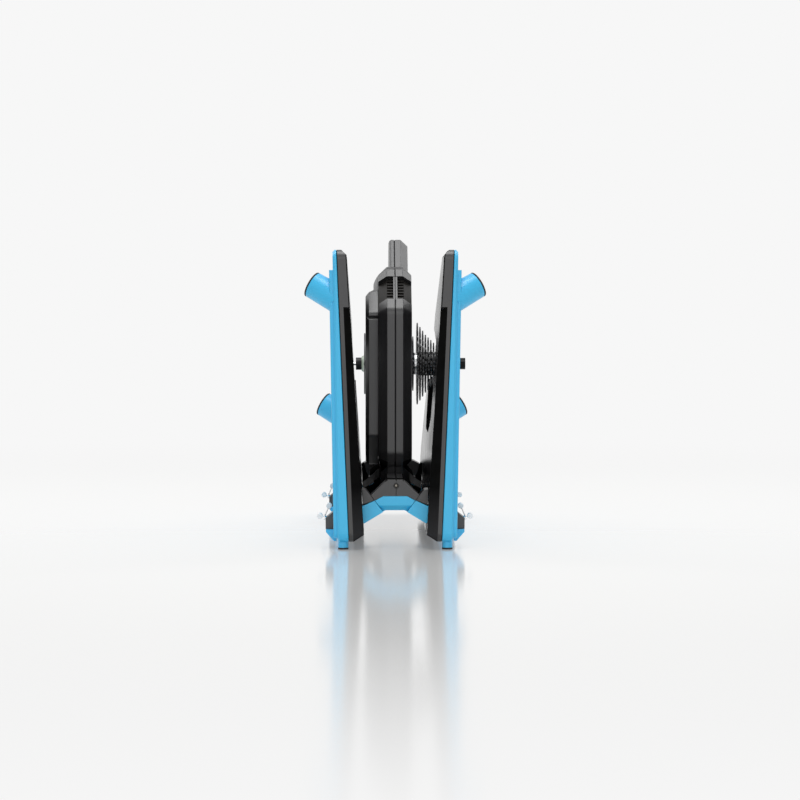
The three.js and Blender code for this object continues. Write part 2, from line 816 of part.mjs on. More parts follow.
const ventLow = slopeLength * ventLowShare;
const ventHigh = slopeLength * ventHighShare;
const ventCut = slopeBlock([-shellRight * 2, shellRight * 2], [ventLow, ventHigh], [-overrun, ventDepth]);
const screwX = seamSpread;
const screwSeat = rearFace + screwRecessDepth;
const screwRecess = rodAlongY(screwX, screwHeight, screwRecessRadius, rearFace - overrun, screwSeat);
const screwHole = rodAlongY(
  screwX, screwHeight, screwShankRadius + clearance, rearFace, rearFace + screwShankLength);

function housingRight() {
  const seamPlace = seamSpread + clearance / 2;
  const shell = join(
    loftAcross(halfSections(seamPlace, shellFlatRight, shellRight)),
    crownHalf(seamPlace, crownFlatRight, crownRight, crownChamfer),
    footHalf(seamPlace, shellFlatRight));
  const inlet = rodAlongY(inletSpread, inletHeight, inletRadius + clearance,
    shellHalfLength - inletDepth, shellHalfLength + overrun);
  return cut(shell, halfVoid(seamPlace, shellFlatRight, shellRight),
    crownVoid(seamPlace, crownRight, crownChamfer),
    disc(shellRight - shellWall - overrun, shellRight + overrun, rotorHubRadius + runningGap),
    ventCut, screwRecess, screwHole, inlet);
}

function boardPost(z) {
  const length = shellLeft - boardLeft - clearance * 2;
  const post = new THREE.CylinderGeometry(boardPostRadius, boardPostRadius, length, smallSides);
  const middle = (shellLeft + boardLeft) / 2;
  return post.rotateZ(Math.PI / 2).translate(-middle, -boardPostSetback, z);
}

// The left half is drawn as a right half and mirrored, with its seam a little past the middle
function housingLeft() {
  const seamPlace = -seamSpread + clearance / 2;
  const shell = join(
    loftAcross(halfSections(seamPlace, shellFlatLeft, shellLeft)),
    crownHalf(seamPlace, crownLeft - crownEdge, crownLeft, crownEdge),
    footHalf(seamPlace, shellFlatLeft));
  const hollow = cut(shell, halfVoid(seamPlace, shellFlatLeft, shellLeft),
    crownVoid(seamPlace, crownLeft, crownEdge),
    disc(shellLeft - shellWall - overrun, shellLeft + overrun, motorBore));
  return cut(join(mirrored(hollow), boardPost(boardPostLow), boardPost(boardPostHigh)),
    ventCut, screwRecess, screwHole);
}

function ventGrille() {
  const plate = slopeBlock([-grilleHalfWidth + seamSpread, grilleHalfWidth + seamSpread],
    [ventLow + clearance, ventHigh - clearance],
    [ventDepth - clearance - grilleThick, ventDepth - clearance]);
  const pitch = (ventHigh - ventLow - grilleRim * 2) / louverRows;
  const slots = [];
  for (let row = 0; row < louverRows; row += 1) {
    const from = ventLow + grilleRim + pitch * (row + 0.5) - louverGap / 2;
    for (const side of [-1, 1]) {
      const near = seamSpread + side * ventSpineHalf;
      const far = seamSpread + side * (grilleHalfWidth - grilleRim);
      slots.push(slopeBlock([Math.min(near, far), Math.max(near, far)], [from, from + louverGap],
        [-overrun, ventDepth + overrun]));
    }
  }
  return cut(plate, ...slots);
}

function housingScrew() {
  const seat = screwSeat - clearance;
  const head = rodAlongY(screwX, screwHeight, screwHeadRadius, seat - screwHeadThick, seat);
  const shank = rodAlongY(screwX, screwHeight, screwShankRadius,
    seat - screwHeadThick / 2, rearFace + screwShankLength - clearance);
  return join(head, shank);
}

// A tub over the stator, with a round shoulder over it that carries on the slope of the housing
function motorCover() {
  const outline = outlineFrom(coverShares, coverHalfLength, coverBottom, coverHeight);
  const root = -shellLeft - clearance;
  const tub = loftAcross([
    { outline: inset(outline, coverRound), across: -coverReach },
    { outline, across: -coverReach + coverRound },
    { outline, across: root },
  ]);
  const shoulder = turned([
    [-shoulderEnd.reach, 0], [-shoulderEnd.reach, shoulderRadius - shoulderEnd.drop],
    [-shoulderStep.reach, shoulderRadius - shoulderStep.drop], [root, shoulderRadius], [root, 0],
  ]);
  const hollow = loftAcross([
    { outline: inset(outline, shellWall), across: -coverReach + motorWall },
    { outline: inset(outline, shellWall), across: root + overrun },
  ]);
  return cut(join(tub, shoulder), hollow, disc(-rotorRimLeft - runningGap, root + overrun, motorBore),
    disc(-coverReach - overrun, root, axleRadius + clearance * 2));
}

// Motor inside the housing
const rotorInner = rotorRadius - rotorRim - magnetThick;

function rotor() {
  const webLeft = -rotorRimRight;
  const bore = bearingRadius + clearance;
  const body = turned([
    [-rotorRimLeft, rotorRadius - rotorRim], [-rotorRimLeft, rotorRadius],
    [webLeft + rotorWebThick, rotorRadius], [webLeft + rotorWebThick, rotorHubRadius],
    [rotorHubEnd, rotorHubRadius], [rotorHubEnd, bore], [webLeft, bore],
    [webLeft, rotorRadius - rotorRim], [-rotorRimLeft, rotorRadius - rotorRim],
  ]);
  const magnets = [];
  for (let i = 0; i < magnetCount; i += 1) {
    const angle = i / magnetCount * Math.PI * 2;
    const width = Math.PI * rotorInner / magnetCount;
    const magnet = new THREE.BoxGeometry(rotorRimLeft - rotorRimRight - clearance, width, magnetThick * 2);
    magnet.translate(-(rotorRimLeft + rotorRimRight) / 2, 0, rotorInner + magnetThick);
    magnets.push(magnet.rotateX(angle).translate(0, 0, axleHeight));
  }
  return join(body, ...magnets);
}

function stator() {
  const right = -rotorRimLeft + statorThick;
  const left = -coverReach + motorWall + clearance;
  const hub = ring(left, left + statorWebThick * 2, axleRadius + clearance, statorHubRadius);
  const web = ring(left, left + statorWebThick, statorHubRadius - overrun, statorCore);
  const core = ring(left, right, statorRingInner, statorCore);
  const tip = rotorInner - magnetGap;
  const teeth = [];
  for (let i = 0; i < statorTeeth; i += 1) {
    const width = Math.PI * 2 * statorCore / statorTeeth * statorToothShare;
    const tooth = new THREE.BoxGeometry(statorThick - overrun, width, tip - statorCore + overrun);
    tooth.translate(right - statorThick / 2, 0, (tip + statorCore - overrun) / 2);
    teeth.push(tooth.rotateX(i / statorTeeth * Math.PI * 2).translate(0, 0, axleHeight));
  }
  return join(hub, web, core, ...teeth);
}

function bearing(from, outer) {
  return ring(from, from + bearingWidth, axleRadius + clearance, outer);
}

function axle() {
  return ring(-axleLeft, axleRight, skewerRadius + clearance, axleRadius);
}

function adapterLeft() {
  const root = -axleLeft - clearance;
  const tip = root - coneLength;
  const bore = skewerRadius + clearance;
  return turned([
    [root, bore], [root, coneRadius], [tip, coneTip], [tip, endRadius], [tip - endLength, endRadius],
    [tip - endLength, bore], [root, bore],
  ], mediumSides);
}

function adapterRight() {
  const root = axleRight + clearance;
  return ring(root, root + endRightLength, skewerRadius + clearance, endRadius);
}

function endDisc() {
  return ring(-axleLeft, -axleLeft + discThick, axleRadius + clearance, discRadius, largeSides);
}

// Drive side
function toothedOutline(count, tip, root) {
  const points = [];
  for (let i = 0; i < count; i += 1) {
    for (const [around, high] of toothShares) {
      const angle = (i + around) / count * Math.PI * 2;
      const radius = root + (tip - root) * high;
      points.push(new THREE.Vector2(Math.cos(angle) * radius, Math.sin(angle) * radius));
    }
  }
  return points;
}

function toothedPlate(count, tip, root, from, thick) {
  const plate = new THREE.ExtrudeGeometry(new THREE.Shape(toothedOutline(count, tip, root)),
    { depth: thick, bevelEnabled: false });
  return plate.rotateY(Math.PI / 2).translate(from, 0, axleHeight);
}

function driveFlange() {
  const from = rotorHubEnd + clearance;
  const hub = ring(from, from + flangeThick, axleRadius + runningGap, flangeRadius);
  const plate = toothedPlate(
    toothRingTeeth, toothRingRadius, toothRingRadius - toothRingDepth, from, toothRingThick);
  const band = cut(plate, disc(from - overrun, from + overrun, toothRingInner));
  const spokes = [];
  for (let i = 0; i < toothRingSpokes; i += 1) {
    const reach = toothRingInner + overrun / 2 - flangeRadius + overrun;
    const spoke = new THREE.BoxGeometry(toothRingThick, spokeWidth, reach);
    spoke.translate(from + toothRingThick / 2, 0, flangeRadius - overrun + reach / 2);
    spokes.push(spoke.rotateX(i / toothRingSpokes * Math.PI * 2).translate(0, 0, axleHeight));
  }
  return join(hub, band, ...spokes);
}

const freehubStart = rotorHubEnd + clearance + flangeThick + clearance;
const lastCog = cogStart + cogPitch * (cogTeeth.length - 1);

function freehub() {
  return ring(freehubStart, freehubEnd, freehubBore, freehubRadius);
}

function cassette() {
  const cogs = cogTeeth.map((teeth, i) => {
    const pitchRadius = chainPitch / 2 / Math.sin(Math.PI / teeth);
    const from = cogStart + cogPitch * i;
    return toothedPlate(teeth, pitchRadius + toothTip, pitchRadius - toothRoot, from, cogThick);
  });
  const core = disc(cogStart, lastCog + cogThick, spacerRadius);
  return cut(join(core, ...cogs),
    disc(cogStart - overrun, lastCog + cogThick + overrun, freehubRadius + clearance));
}

function lockring() {
  const from = lastCog + cogThick + clearance;
  return ring(from, from + lockringThick, lockringInner, spacerRadius);
}

// Quick release skewer, with the lever closed and pointing forward
function skewerRod() {
  const rod = disc(-camSpread, nutEnd - nutFloor - clearance, skewerRadius, smallSides);
  const barrel = new THREE.CylinderGeometry(camPinRadius, camPinRadius, camHeight, smallSides);
  return join(rod, barrel.rotateX(Math.PI / 2).translate(-camSpread, 0, axleHeight));
}

function skewerNut() {
  const start = nutEnd - nutLength;
  const bore = skewerRadius + clearance;
  return turned([
    [start, bore], [start, nutRadius * nutNeckShare], [start + nutLength * nutTaperShare, nutRadius],
    [nutEnd, nutRadius], [nutEnd, 0], [nutEnd - nutFloor, 0], [nutEnd - nutFloor, bore], [start, bore],
  ], smallSides);
}

function skewerCup() {
  const left = -camSpread + camRadius + clearance;
  return ring(left, left + cupLength, skewerRadius + clearance, cupRadius, smallSides);
}

function skewerLever() {
  const cam = new THREE.CylinderGeometry(camRadius, camRadius, camHeight, smallSides);
  cam.rotateX(Math.PI / 2).translate(-camSpread, 0, axleHeight);
  const left = -camSpread - camRadius;
  const handle = block([left, left + leverThick], [0, leverLength],
    [axleHeight - leverWidth / 2, axleHeight + leverWidth / 2]);
  const slot = block([left - overrun, -camSpread + camRadius + overrun], [-camRadius - overrun, camSlot / 2],
    [axleHeight - camSlot / 2, axleHeight + camSlot / 2]);
  const inner = block([left + leverThick, -camSpread + camRadius + overrun], [0, camRadius + overrun],
    [axleHeight - camSlot / 2, axleHeight + camSlot / 2]);
  const boreRadius = camPinRadius + clearance;
  const bore = new THREE.CylinderGeometry(boreRadius, boreRadius, camHeight * 2, smallSides);
  bore.rotateX(Math.PI / 2).translate(-camSpread, 0, axleHeight);
  return cut(join(cam, handle), slot, inner, bore);
}

// Circuit board and power inlet
function circuitBoard() {
  return block([-boardLeft, -boardLeft + boardThick], [-boardRear, -boardRear + boardDepth],
    [boardLow, boardLow + boardHeight]);
}

function powerSocket() {
  const face = shellHalfLength;
  const flange = rodAlongY(inletSpread, inletHeight, inletFlange, face + clearance, face + inletFlangeThick);
  const stem = rodAlongY(inletSpread, inletHeight, inletRadius,
    face - inletDepth, face + inletFlangeThick / 2);
  const bore = rodAlongY(inletSpread, inletHeight, inletBore, face - inletDepth / 2, face + overrun);
  return cut(join(flange, stem), bore);
}

// Assembly
const trainer = new THREE.Group();

function place(name, geometry, material) {
  const flat = geometry.toNonIndexed();
  flat.computeVertexNormals();
  const mesh = new THREE.Mesh(flat, material);
  mesh.name = name;
  trainer.add(mesh);
}

function placePair(name, geometry, material) {
  place(`${name}_right`, bare(geometry), material);
  place(`${name}_left`, mirrored(geometry), material);
}

place('base_frame', bare(prismAlong(bothSides(spineHalf), rearFace, spineFront)), blue);
place('front_crossbar', bare(frontCrossbar()), charcoal);
for (const [where, centre] of [['rear', rearArmCentre], ['front', frontArmCentre]]) {
  placePair(`arm_${where}`, arm(centre), blue);
  placePair(`arm_cover_${where}`, armCover(centre), charcoal);
  placePair(`latch_block_${where}`, latchBlock(centre), charcoal);
  placePair(`latch_pull_${where}`, latchPull(centre), steel);
}
placePair('hinge_rod', rodAlongY(hingeSpread, hingeHeight, rodRadius, -rodRearEnd, rodFrontEnd), steel);
placePair('leg_shell', legShell(), blue);
placePair('leg_cover', legCover(), charcoal);
for (const [where, foot] of [['rear', rearFoot], ['front', frontFoot]]) {
  placePair(`foot_tube_${where}`, footTube(foot), blue);
  placePair(`foot_pad_${where}`, footPad(foot), rubber);
}
placePair('stand_pad_rear', standPad(-stubSetback), rubber);
placePair('stand_pad_front', standPad(stubSetback), rubber);
place('housing_left', housingLeft(), charcoal);
place('housing_right', housingRight(), charcoal);
place('motor_cover', motorCover(), charcoal);
place('vent_grille', ventGrille(), charcoal);
place('housing_screw', housingScrew(), steel);
place('end_disc', bare(endDisc()), darkSteel);
place('circuit_board', bare(circuitBoard()), boardGreen);
place('power_socket', powerSocket(), rubber);
place('axle', bare(axle()), steel);
place('stator', stator(), copper);
place('rotor', rotor(), darkSteel);
place('bearing_left', bare(bearing(-rotorRimRight + clearance, bearingRadius)), steel);
place('bearing_right', bare(bearing(bearingRightEnd - bearingWidth, bearingRadius)), steel);
place('adapter_left', bare(adapterLeft()), greenGrey);
place('adapter_right', bare(adapterRight()), darkSteel);
place('drive_flange', driveFlange(), darkSteel);
place('freehub', bare(freehub()), darkSteel);
const freehubBearing = bearing(freehubEnd - bearingWidth - clearance, freehubBore - clearance);
place('bearing_freehub', bare(freehubBearing), steel);
place('cassette', cassette(), steel);
place('lockring', bare(lockring()), steel);
place('skewer_rod', skewerRod(), steel);
place('skewer_nut', bare(skewerNut()), darkSteel);
place('skewer_cup', bare(skewerCup()), darkSteel);
place('skewer_lever', skewerLever(), darkSteel);

export default trainer;
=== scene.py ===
# A folding direct drive bike trainer, folded for storage and seen from behind, dressed round its CAD frame.
# Metres throughout: X across the bike with the drive side positive, Y forward, Z up.
import math

import bmesh
import bpy
from mathutils import Matrix, Vector


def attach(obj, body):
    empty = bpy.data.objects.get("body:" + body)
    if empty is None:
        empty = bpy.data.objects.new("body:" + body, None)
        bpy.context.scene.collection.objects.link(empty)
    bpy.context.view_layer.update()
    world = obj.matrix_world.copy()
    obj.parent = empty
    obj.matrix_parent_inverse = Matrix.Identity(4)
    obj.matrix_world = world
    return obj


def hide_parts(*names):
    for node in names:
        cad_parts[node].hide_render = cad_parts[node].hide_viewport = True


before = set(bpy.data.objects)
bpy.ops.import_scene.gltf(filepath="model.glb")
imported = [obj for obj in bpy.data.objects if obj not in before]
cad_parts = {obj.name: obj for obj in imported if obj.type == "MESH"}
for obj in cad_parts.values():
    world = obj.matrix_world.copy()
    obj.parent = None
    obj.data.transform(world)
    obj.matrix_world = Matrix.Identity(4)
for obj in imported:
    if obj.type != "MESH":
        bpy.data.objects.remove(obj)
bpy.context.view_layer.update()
mm = 0.001

# Camera and studio
# The photograph looks from behind, a little from the left, with a long lens about 0.35 m above the floor. A
# pale floor runs out into a white surround. A wide lamp hangs overhead, a long one hangs high at each side
# towards the front, and the fourth stands behind the camera.
camera_place = Vector((-0.0473, -3.810, 0.352))
camera_lens = 110.9
camera_pitch = math.radians(-2.25)
camera_yaw = math.radians(-0.88)
surround_white = 0.93
sky_colour = (1, 0.98, 0.96, 1)
sky_strength = 0.5
floor_colour = (0.80, 0.805, 0.80, 1)
floor_rough = 0.1
floor_rough_spread = 0.05
floor_half = 12.0
floor_near = 0.75
floor_glow = 0.4
floor_far = 2.6


def add_object(name, data):
    """Puts a new object in the scene."""
    made = bpy.data.objects.new(name, data)
    bpy.context.scene.collection.objects.link(made)
    return made


def link(tree, start, end):
    """Joins an output socket to an input socket."""
    tree.links.new(start, end)


def node(tree, kind, **inputs):
    """Adds a node and sets its inputs, by name or as _number, each to a value or to a socket to join to."""
    made = tree.nodes.new(kind)
    for name, value in inputs.items():
        socket = made.inputs[int(name[1:])] if name[0] == "_" else made.inputs[name.replace("_", " ")]
        if isinstance(value, bpy.types.NodeSocket):
            link(tree, value, socket)
        else:
            socket.default_value = value
    return made


def maths(tree, operation, first, second, third=0.0):
    """One Math node."""
    made = node(tree, "ShaderNodeMath", _0=first, _1=second, _2=third)
    made.operation = operation
    return made.outputs[0]


def place_of(tree):
    """The point that is shaded, in the scene's own metres."""
    return tree.nodes.new("ShaderNodeTexCoord").outputs["Object"]


def clouds(tree, scale, detail):
    """Soft noise round one half."""
    return node(tree, "ShaderNodeTexNoise", Vector=place_of(tree), Scale=scale, Detail=detail).outputs["Fac"]


def new_material(name):
    """An empty node material, its tree, and its output node."""
    material = bpy.data.materials.new(name)
    material.use_nodes = True
    material.node_tree.nodes.clear()
    return material, material.node_tree, material.node_tree.nodes.new("ShaderNodeOutputMaterial")


def seen_directly(tree):
    """One for camera, mirror and glass rays, nought for the rays that light the object."""
    path = tree.nodes.new("ShaderNodeLightPath")
    mirror = maths(tree, "MAXIMUM", path.outputs["Is Glossy Ray"], path.outputs["Is Transmission Ray"])
    return maths(tree, "MAXIMUM", path.outputs["Is Camera Ray"], mirror)


def floor_material():
    """Pale matt floor under a thin gloss, fading out into the white surround."""
    material, tree, output = new_material("studio_floor")
    rough = maths(tree, "MULTIPLY_ADD", clouds(tree, 6.0, 2.0), floor_rough_spread, floor_rough)
    matt = node(tree, "ShaderNodeBsdfDiffuse", Color=floor_colour)
    gloss = node(tree, "ShaderNodeBsdfGlossy", Color=(1, 1, 1, 1), Roughness=rough)
    away = node(tree, "ShaderNodeVectorMath", _0=place_of(tree))
    away.operation = "LENGTH"
    fade = node(tree, "ShaderNodeMapRange", Value=away.outputs["Value"], From_Min=floor_near,
                From_Max=floor_far)
    fade.interpolation_type = "SMOOTHSTEP"
    direct = seen_directly(tree)
    white = node(tree, "ShaderNodeEmission", Color=(surround_white,) * 3 + (1,))
    glow = maths(tree, "MULTIPLY", direct, floor_glow)
    lower = node(tree, "ShaderNodeMixShader", _0=glow, _1=matt.outputs[0], _2=white.outputs[0])
    edge = node(tree, "ShaderNodeFresnel", IOR=1.45)
    polished = node(tree, "ShaderNodeMixShader", _0=edge.outputs[0], _1=lower.outputs[0], _2=gloss.outputs[0])
    share = maths(tree, "MULTIPLY", fade.outputs["Result"], direct)
    mixed = node(tree, "ShaderNodeMixShader", _0=share, _1=polished.outputs[0], _2=white.outputs[0])
    link(tree, mixed.outputs[0], output.inputs["Surface"])
    return material


def studio_world():
    """White to the camera and in mirrors, and a weak warm light to the object."""
    world = bpy.data.worlds.new("studio")
    world.use_nodes = True
    tree = world.node_tree
    tree.nodes.clear()
    soft = node(tree, "ShaderNodeBackground", Color=sky_colour, Strength=sky_strength)
    white = node(tree, "ShaderNodeBackground", Color=(1, 1, 1, 1), Strength=surround_white)
    mixed = node(tree, "ShaderNodeMixShader", _0=seen_directly(tree), _1=soft.outputs[0], _2=white.outputs[0])
    link(tree, mixed.outputs[0], tree.nodes.new("ShaderNodeOutputWorld").inputs["Surface"])
    return world


def softbox(name, place, target, width, height, radiance):
    """A rectangular lamp that shines evenly, set by its radiance."""
    lamp = bpy.data.lights.new(name, "AREA")
    lamp.shape = "RECTANGLE"
    lamp.size = width
    lamp.size_y = height
    lamp.energy = radiance * math.pi * width * height
    lamp_object = add_object(name, lamp)
    lamp_object.location = place
    lamp_object.rotation_euler = (Vector(target) - Vector(place)).to_track_quat("-Z", "Y").to_euler()


camera_data = bpy.data.cameras.new("camera")
camera_data.lens = camera_lens
camera_data.sensor_width = 36
camera_data.clip_end = 60
camera = add_object("camera", camera_data)
camera.location = camera_place
camera.rotation_euler = (math.pi / 2 + camera_pitch, 0, camera_yaw)
bpy.context.scene.camera = camera
bpy.context.scene.view_settings.view_transform = "Standard"
floor_corners = [(-floor_half, -floor_half, 0), (floor_half, -floor_half, 0), (floor_half, floor_half, 0),
                 (-floor_half, floor_half, 0)]
floor_mesh = bpy.data.meshes.new("floor")
floor_mesh.from_pydata(floor_corners, [], [(0, 1, 2, 3)])
floor = add_object("floor", floor_mesh)
floor.data.materials.append(floor_material())
bpy.context.scene.world = studio_world()
softbox("overhead", (0, -0.4, 2.3), (0, -0.1, 0.2), width=0.95, height=1.3, radiance=5.2)
softbox("upper_left", (-1.35, 0.8, 1.95), (0, 0.8, 0.35), width=0.5, height=2.2, radiance=4.8)
softbox("upper_right", (1.35, 0.8, 1.95), (0, 0.8, 0.35), width=0.5, height=2.2, radiance=4.8)
softbox("behind_camera", (-0.3, -4.6, 1.75), (0, 0, 0.25), width=5.0, height=3.4, radiance=1.05)

# Leg shells
# The outer half of each leg is a cast slab, powder coated blue. A ledge is raised on its face and stops short
# of the top. Cast brackets and stubs stand at its foot, and slots let the hinge arms swing through it.
leg_outline = [(-310, 11), (310, 11), (310, 52.7), (290, 119.8), (150, 237.8), (66, 237.8), (66, 164.9),
               (-58.9, 164.9), (-151.9, 189.9), (-185, 285), (-22, 305), (-45.9, 342), (-220, 428),
               (-310, 428)]
leg_bottom = 11
leg_height = 417
leg_corner = 14
leg_hollow_corner = 12
arc_steps = 6
least_corner = 0.4
corner_share = 0.48
seam_planes = (66.5, 84)
slab_planes = (82.8, 89.5)
slab_steps = [(0.8, seam_planes, 0.15), (0, seam_planes, 0.95), (0, slab_planes, -3), (3, slab_planes, 0)]
ledge_rise = 5.3
ledge_steps = [(5, slab_planes, -1), (5, slab_planes, ledge_rise - 2), (5.6, slab_planes, ledge_rise - 0.6),
               (7, slab_planes, ledge_rise)]
ledge_top = 399
above_ledge = [(-400, ledge_top), (400, ledge_top), (400, 600), (-400, 600)]
above_ends = (40, 140)
arm_centres = {"rear": -260, "front": 130}
arm_half = 19
hinge_place = (77, 40)
slot_outline = [(77, 51), (46.5, 62.1), (0, 62.1), (0, -4), (98.4, -4), (98.4, 15.6), (88, 15.6), (88, 40)]
socket_radius = 11
bracket_outline = [(84, 11), (88, 11), (99.5, 24), (99.5, 27.5), (84, 27.5)]
bracket_half = 24
stub_across = 74.5
stub_along = (-290, 290)
stub_levels = (2.5, 15)
stub_radius = 7.5
shell_softness = 0.7
merge_distance = 0.00001
flat_angle = math.radians(0.6)
bevel_angle = math.radians(27)
crease_angle = math.radians(38)
normal_weight = 90
blue = (0.038, 0.46, 0.775)
blue_deep = (0.034, 0.43, 0.74)


def blend(tree, share, first, second):
    """Mixes two colours by a share that runs from nought to one."""
    mix = node(tree, "ShaderNodeMix", _0=share, _6=first, _7=second)
    mix.data_type = "RGBA"
    return mix.outputs[2]


def principled(tree, output, **inputs):
    """Ends a material in one Principled shader."""
    finish = node(tree, "ShaderNodeBsdfPrincipled", **inputs)
    link(tree, finish.outputs[0], output.inputs["Surface"])


def powder_coat(name, colour, deep):
    """Sprayed and baked colour: two close shades in soft clouds, and a very fine orange peel."""
    material, tree, output = new_material(name)
    shades = blend(tree, clouds(tree, 14.0, 3.0), deep + (1,), colour + (1,))
    peel = node(tree, "ShaderNodeBump", Strength=0.004, Distance=0.0002, Height=clouds(tree, 900.0, 0.0))
    principled(tree, output, Base_Color=shades, Roughness=0.36, Normal=peel.outputs[0], Coat_Weight=0.15,
               Coat_Roughness=0.3)
    return material


def inset(outline, depth):
    """Moves every side of an anticlockwise outline inwards by depth, with mitred corners."""
    moved = []
    for before, here, after in zip(outline[-1:] + outline[:-1], outline, outline[1:] + outline[:1]):
        first = (Vector(here) - Vector(before)).normalized()
        second = (Vector(after) - Vector(here)).normalized()
        inward = Vector((-first.y - second.y, first.x + second.x)) / (1 + first.dot(second))
        moved.append(Vector(here) + inward * depth)
    return moved


def rounded(outline, outer, hollow, depth):
    """Insets an outline, then turns each corner into an arc of the same number of points."""
    corners = inset(outline, depth)
    path = []
    for before, here, after in zip(corners[-1:] + corners[:-1], corners, corners[1:] + corners[:1]):
        first = (here - before).normalized()
        second = (after - here).normalized()
        turn = math.atan2(first.cross(second), first.dot(second))
        radius = max(outer - depth, least_corner) if turn > 0 else hollow + depth
        room = min((here - before).length, (after - here).length) * corner_share
        reach = min(radius * math.tan(abs(turn) / 2), room)
        radius = reach / math.tan(abs(turn) / 2)
        side = math.copysign(1, turn)
        centre = here - first * reach + Vector((-first.y, first.x)) * radius * side
        spoke = here - first * reach - centre
        path += [centre + Matrix.Rotation(turn * i / arc_steps, 2) @ spoke for i in range(arc_steps + 1)]
    return path


def leg_plane(outline, low, high):
    """Stands a leg outline on a plane that leans from low at the foot to high at the top."""
    return [(low + (high - low) * (p.y - leg_bottom) / leg_height, p.x, p.y) for p in outline]


def flat_plane(outline, x):
    """Stands an outline of Y and Z upright at one X."""
    return [(x, p[0], p[1]) for p in outline]


def along_y(outline, y):
    """Stands an outline of X and Z upright at one Y."""
    return [(p[0], y, p[1]) for p in outline]


def loft(name, sections, mirrored=False):
    """Joins closed outlines of equal length into one closed skin, from millimetres."""
    side = -1 if mirrored else 1
    mesh = bpy.data.meshes.new(name)
    count = len(sections[0])
    points = [(x * mm * side, y * mm, z * mm) for section in sections for x, y, z in section]
    faces = [list(range(count)), [len(points) - 1 - i for i in range(count)]]
    for row in range(len(sections) - 1):
        for i in range(count):
            start = row * count
            j = (i + 1) % count
            faces.append([start + i, start + count + i, start + count + j, start + j])
    mesh.from_pydata(points, [], faces)
    work = bmesh.new()
    work.from_mesh(mesh)
    bmesh.ops.recalc_face_normals(work, faces=work.faces)
    work.to_mesh(mesh)
    work.free()
    return add_object(name, mesh)


def bar(name, outline, stand, ends, mirrored=False):
    """A straight bar of one outline, which flat_plane or along_y stands at either end."""
    return loft(name, [stand(outline, end) for end in ends], mirrored)


def leg_loft(name, steps, mirrored):
    """A solid with the outline of the legs, by steps of its inset, the planes it is on and their shift."""
    return loft(name, [
        leg_plane(rounded(leg_outline, leg_corner, leg_hollow_corner, depth), low + shift, high + shift)
        for depth, (low, high), shift in steps], mirrored)


def bake(piece):
    """Turns the modifiers of a piece into plain mesh."""
    graph = bpy.context.evaluated_depsgraph_get()
    solid = bpy.data.meshes.new_from_object(piece.evaluated_get(graph))
    piece.modifiers.clear()
    piece.data = solid
    return piece


def combine(piece, others, operation):
    """Adds the other solids to a piece, or cuts them out of it, and throws them away."""
    for other in others:
        change = piece.modifiers.new(operation, "BOOLEAN")
        change.operation = operation
        change.solver = "MANIFOLD"
        change.object = other
        bake(piece)
        bpy.data.objects.remove(other)
    return piece


def soften(piece, width):
    """Rounds the sharp edges of a piece over a small width and evens its shading."""
    work = bmesh.new()
    work.from_mesh(piece.data)
    bmesh.ops.remove_doubles(work, verts=work.verts, dist=merge_distance)
    bmesh.ops.dissolve_limit(work, angle_limit=flat_angle, verts=work.verts, edges=work.edges)
    bmesh.ops.dissolve_degenerate(work, edges=work.edges, dist=merge_distance)
    work.to_mesh(piece.data)
    work.free()
    piece.data.shade_smooth()
    edge = piece.modifiers.new("edges", "BEVEL")
    edge.width = width * mm
    edge.segments = 2
    edge.limit_method = "ANGLE"
    edge.angle_limit = bevel_angle
    edge.miter_outer = "MITER_ARC"
    edge.use_clamp_overlap = True
    bake(piece)
    piece.data.set_sharp_from_angle(angle=crease_angle)
    even = piece.modifiers.new("shading", "WEIGHTED_NORMAL")
    even.keep_sharp = True
    even.weight = normal_weight
    return bake(piece)


def dress(piece, material, body, nodes):
    """Gives a piece its material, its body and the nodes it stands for."""
    piece.data.materials.clear()
    piece.data.materials.append(material)
    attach(piece, body)
    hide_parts(*nodes)
    return piece


def rod(name, start, end, radius, sides=40):
    """A round bar between two points in millimetres."""
    start, end = Vector(start) * mm, Vector(end) * mm
    way = end - start
    work = bmesh.new()
    bmesh.ops.create_cone(work, cap_ends=True, segments=sides, radius1=radius * mm, radius2=radius * mm,
                          depth=way.length)
    turn = way.to_track_quat("Z", "Y").to_matrix().to_4x4()
    bmesh.ops.transform(work, matrix=Matrix.Translation((start + end) / 2) @ turn, verts=work.verts)
    mesh = bpy.data.meshes.new(name)
    work.to_mesh(mesh)
    work.free()
    return add_object(name, mesh)


def arm_slots(side):
    """The room that each hinge arm sweeps in the foot of a leg."""
    slots = []
    across, level = hinge_place
    across *= -1 if side == "left" else 1
    for centre in arm_centres.values():
        low, high = centre - arm_half, centre + arm_half
        slots.append(bar("slot", slot_outline, along_y, (low, high), side == "left"))
        slots.append(rod("socket", (across, low, level), (across, high, level), socket_radius))
    return slots


powder_blue = powder_coat("powder_blue", blue, blue_deep)
for side in ("left", "right"):
    mirrored = side == "left"
    shell = leg_loft("leg_slab_" + side, slab_steps, mirrored)
    ledge = leg_loft("ledge_" + side, ledge_steps, mirrored)
    combine(ledge, [bar("above", above_ledge, flat_plane, above_ends, mirrored)], "DIFFERENCE")
    brackets = [bar("bracket", bracket_outline, along_y, (centre - bracket_half, centre + bracket_half),
                    mirrored) for centre in arm_centres.values()]
    across = -stub_across if mirrored else stub_across
    stubs = [rod("stub", (across, y, stub_levels[0]), (across, y, stub_levels[1]), stub_radius)
             for y in stub_along]
    combine(shell, [ledge] + brackets + stubs, "UNION")
    combine(shell, arm_slots(side), "DIFFERENCE")
    soften(shell, shell_softness)
    dress(shell, powder_blue, "leg_" + side, ["leg_shell_" + side])

